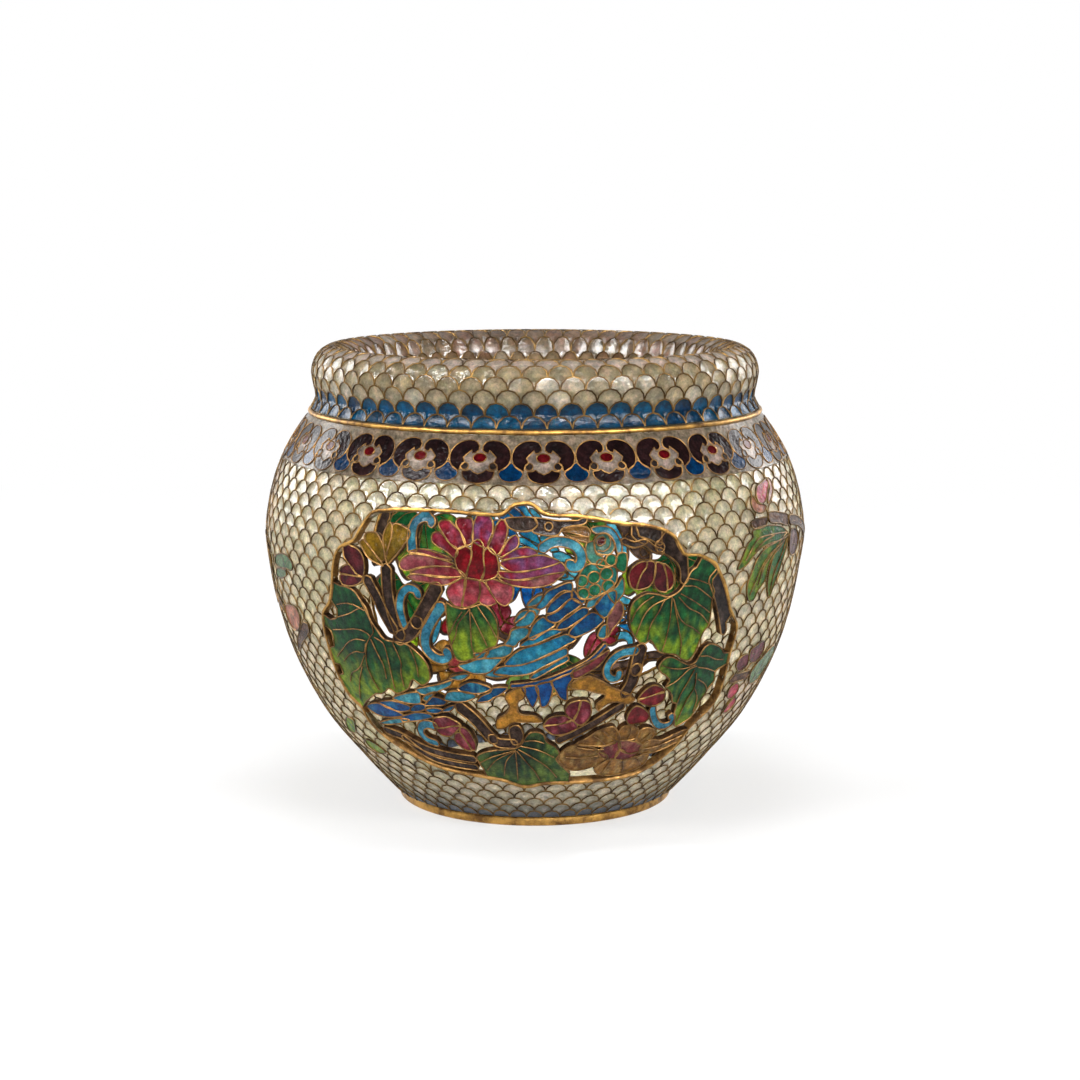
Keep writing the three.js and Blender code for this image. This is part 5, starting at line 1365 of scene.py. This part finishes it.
heads = coloured_body()
lines = []
for number in range(RUYI_HEADS):
    place = band_point(FIRST_HEAD + number * HEAD_STEP)
    take_in(heads, cell(HEAD_FIELD, PEARL_PINK, place, -0.02, 0.5, 0.03, 4))
    for tint, corners in HEAD_CELLS:
        outline = smooth_line(corners, True, 0.7)
        take_in(heads, cell(grown(outline, 0.05), tint, place, 0.03, 0.6, 0.06, 4))
        lines.append(([place(x, y, 0.04) for x, y in outline], True))
take_in(heads, wires(lines, 0.2), 2)
head_finishes = [band_enamel, cell_side_copper_and_shade, window_wire]
add_piece("ruyi_heads", finished(heads, "ruyi heads"), head_finishes, "ruyi_enamel")

# The band's ground, a little below its heads and darker than the scales, by its own darker tone and by
# painted shade between the heads
FIELD_SINK = 0.08
FIELD_ROWS = 12
FIELD_COLUMNS = 168
FIELD_TONE_AND_SHADE = (0.34, 0.29, 0.27)
field = bmesh.new()
section = [(band_start + band_length * k / FIELD_ROWS, -FIELD_SINK) for k in range(FIELD_ROWS + 1)]
section += [(along, -WALL) for along, _ in reversed(section)]
add_ring(field, [wall_skin.point(0, along, depth) for along, depth in section])
turn_round(field, FIELD_COLUMNS, 0.01)
layer = field.loops.layers.float_color.new("tint")
for face in field.faces:
    shade = rng.uniform(0.9, 1.1)
    for loop in face.loops:
        loop[layer] = (*(value * part * shade for value, part in zip(GREY, FIELD_TONE_AND_SHADE)), 1)
add_piece("band_field", finished(field, "band field"), [band_enamel], "ruyi_enamel", "shoulder_band")


# Turned metal: foot ring, neck wire and lip wire
def turned_ring(name, section, steps, node, wave):
    """A gilt ring that sways a little by hand, in the place of a node."""
    ring = bmesh.new()
    add_ring(ring, [(radius * MM, 0, height * MM) for radius, height in section])
    turn_round(ring, steps, 0.005)
    for vert in ring.verts:
        sway = noise.noise(vert.co * 180) * wave * MM
        vert.co.z += sway
        vert.co.xy *= 1 + sway / vert.co.xy.length
    add_piece(name, finished(ring, name), [gilt], "gilt_metal", node)


def round_section(radius, height, half):
    turns = [math.pi * k / 5 for k in range(10)]
    return [(radius + half * math.cos(turn), height + half * math.sin(turn)) for turn in turns]


turned_ring("neck_wire_gilt", round_section(*NECK_WIRE), 240, "neck_wire", 0.1)
turned_ring("lip_wire_gilt", round_section(*LIP_WIRE), 200, "lip_wire", 0.06)
foot_section = [(FOOT_OUTSIDE - inwards, height) for inwards, height in (
    (2.5, 0.05), (2.4, 0), (0.4, 0), (0.1, 0.2), (0, 0.6), (0, 1.2), (0.1, 1.6), (0.4, FOOT_HEIGHT),
    (2.4, FOOT_HEIGHT), (2.5, FOOT_HEIGHT - 0.05))]
turned_ring("foot_ring_gilt", foot_section, 160, "foot_ring", 0.04)

# Base disc, wider at its top, where it meets the wall
BASE_RADIUS = 27.1
BASE_FOOT = 2.1
BASE_TOP = 3.2
BASE_SPREAD = 1.03


def base_back(spot):
    spot.z = BASE_FOOT * MM
    spot.xy /= BASE_SPREAD


base = bmesh.new()
bmesh.ops.create_circle(base, cap_ends=True, radius=BASE_RADIUS * MM, segments=96)
bmesh.ops.inset_region(base, faces=base.faces[:], thickness=6 * MM)
for vert in base.verts:
    vert.co.z = BASE_TOP * MM
    vert.co.xy *= BASE_SPREAD
add_back(base, base_back)
layer = base.loops.layers.float_color.new("tint")
for face in base.faces:
    for loop in face.loops:
        loop[layer] = GREY
add_piece("base_enamel", finished(base, "base"), [clear_enamel], "clear_enamel", "base_disc")

# Floor, light and camera, with the room's own level of light
ROOM = 0.22
WHITE = (1, 1, 1, 1)


def square_sheet(name, size, paint, matrix):
    """A square sheet for the jar to stand on or in front of."""
    body = bmesh.new()
    bmesh.ops.create_grid(body, x_segments=2, y_segments=2, size=size, matrix=matrix)
    mesh = bpy.data.meshes.new(name)
    body.to_mesh(mesh)
    body.free()
    mesh.materials.append(paint)
    sheet = bpy.data.objects.new(name, mesh)
    bpy.context.scene.collection.objects.link(sheet)
    return sheet


def looked_at(node):
    """1 where a sheet is seen, mirrored or seen through enamel, and 0 where it only gives light."""
    rays = node("LightPath").outputs
    seen = node("Math", operation="ADD", n0=rays["Is Camera Ray"], n1=rays["Is Glossy Ray"])
    through = node("Math", operation="ADD", n0=seen.outputs["Value"], n1=rays["Is Transmission Ray"])
    return through.outputs["Value"]


# The floor takes shadows near the jar and is plain white further off
floor_paint, node = material("floor white")
spot = node("TexCoord").outputs["Object"]
away = node("VectorMath", operation="LENGTH", n0=spot).outputs["Value"]
plain = node("MapRange", Value=away, From_Min=0.1, From_Max=0.5, To_Min=0.6, To_Max=1)
share = node("Math", operation="MULTIPLY", n0=looked_at(node), n1=plain.outputs["Result"])
matt = node("BsdfPrincipled", Base_Color=(0.9, 0.9, 0.9, 1), Roughness=0.9, Specular_IOR_Level=0.1)
white = node("Emission", Color=WHITE, Strength=1)
both = node("MixShader", n0=share.outputs["Value"], n1=matt.outputs["BSDF"], n2=white.outputs["Emission"])
node("OutputMaterial", Surface=both.outputs["Shader"])
floor = square_sheet("floor", 3, floor_paint, Matrix())

# Backdrop: white where it is looked at, as dim as the room for everything else
backdrop_paint, node = material("backdrop white")
level = node("MapRange", Value=looked_at(node), From_Min=0, From_Max=1, To_Min=ROOM, To_Max=1)
lit = node("Emission", Color=WHITE, Strength=level.outputs["Result"])
node("OutputMaterial", Surface=lit.outputs["Emission"])
upright = Matrix.Translation((0, 1.6, 1.2)) @ Matrix.Rotation(math.pi / 2, 4, "X")
backdrop = square_sheet("backdrop", 2.4, backdrop_paint, upright)

# The world is white to the eye and through enamel, and dim as a light and in reflections
world = bpy.data.worlds.new("studio")
bpy.context.scene.world = world
node = painter(world)
rays = node("LightPath").outputs
shown = node("Math", operation="ADD", n0=rays["Is Camera Ray"], n1=rays["Is Transmission Ray"])
dim = node("Background", Color=WHITE, Strength=ROOM)
bright = node("Background", Color=WHITE, Strength=1)
both = node("MixShader", n0=shown.outputs["Value"], n1=dim.outputs["Background"],
            n2=bright.outputs["Background"])
node("OutputWorld", Surface=both.outputs["Shader"])


def soft_box(name, place, size, power, lights=True, shines=True):
    """A soft box turned to the jar, which can light without shining in the enamel, or only shine in it."""
    light = bpy.data.lights.new(name, "AREA")
    light.shape = "RECTANGLE"
    light.size, light.size_y = size
    light.energy = power
    lamp = bpy.data.objects.new(name, light)
    lamp.location = place
    lamp.rotation_euler = (Vector((0, 0, 0.05)) - Vector(place)).to_track_quat("-Z", "Y").to_euler()
    lamp.visible_camera = False
    lamp.visible_diffuse = lights
    lamp.visible_transmission = lights
    lamp.visible_glossy = shines
    bpy.context.scene.collection.objects.link(lamp)


soft_box("left soft box", (-0.55, -0.4, 0.45), (0.3, 0.2), 3.2, shines=False)
soft_box("right soft box", (0.5, -0.5, 0.43), (0.3, 0.2), 3.2, shines=False)
soft_box("top soft box", (0, -0.1, 0.85), (0.3, 0.3), 2.6)
soft_box("back left soft box", (-0.62, 0.42, 0.25), (0.25, 0.35), 3.2)
soft_box("back right soft box", (0.62, 0.42, 0.25), (0.25, 0.35), 3.2)
soft_box("left glint", (-0.55, -0.38, 0.47), (0.34, 0.18), 8, lights=False)
soft_box("right glint", (0.49, -0.5, 0.43), (0.3, 0.18), 7, lights=False)
soft_box("front glint", (0.12, -0.75, 0.4), (0.09, 0.09), 5, lights=False)

# A small lamp in the jar, for the light that comes through the enamel
inner_light = bpy.data.lights.new("inner light", "POINT")
inner_light.energy = 0.17
inner_light.shadow_soft_size = 0.012
inner_lamp = bpy.data.objects.new("inner light", inner_light)
inner_lamp.location = (0, 0, 0.048)
inner_lamp.visible_camera = False
inner_lamp.visible_glossy = False
bpy.context.scene.collection.objects.link(inner_lamp)

camera_data = bpy.data.cameras.new("camera")
camera_data.lens = 75.97
camera_data.sensor_width = 36
camera_data.clip_start = 0.01
camera = bpy.data.objects.new("camera", camera_data)
camera.location = (0.001, -0.4562, 0.1257)
camera.rotation_euler = (math.radians(80.81), 0, 0)
bpy.context.scene.collection.objects.link(camera)
bpy.context.scene.camera = camera
bpy.context.scene.view_settings.view_transform = "Standard"
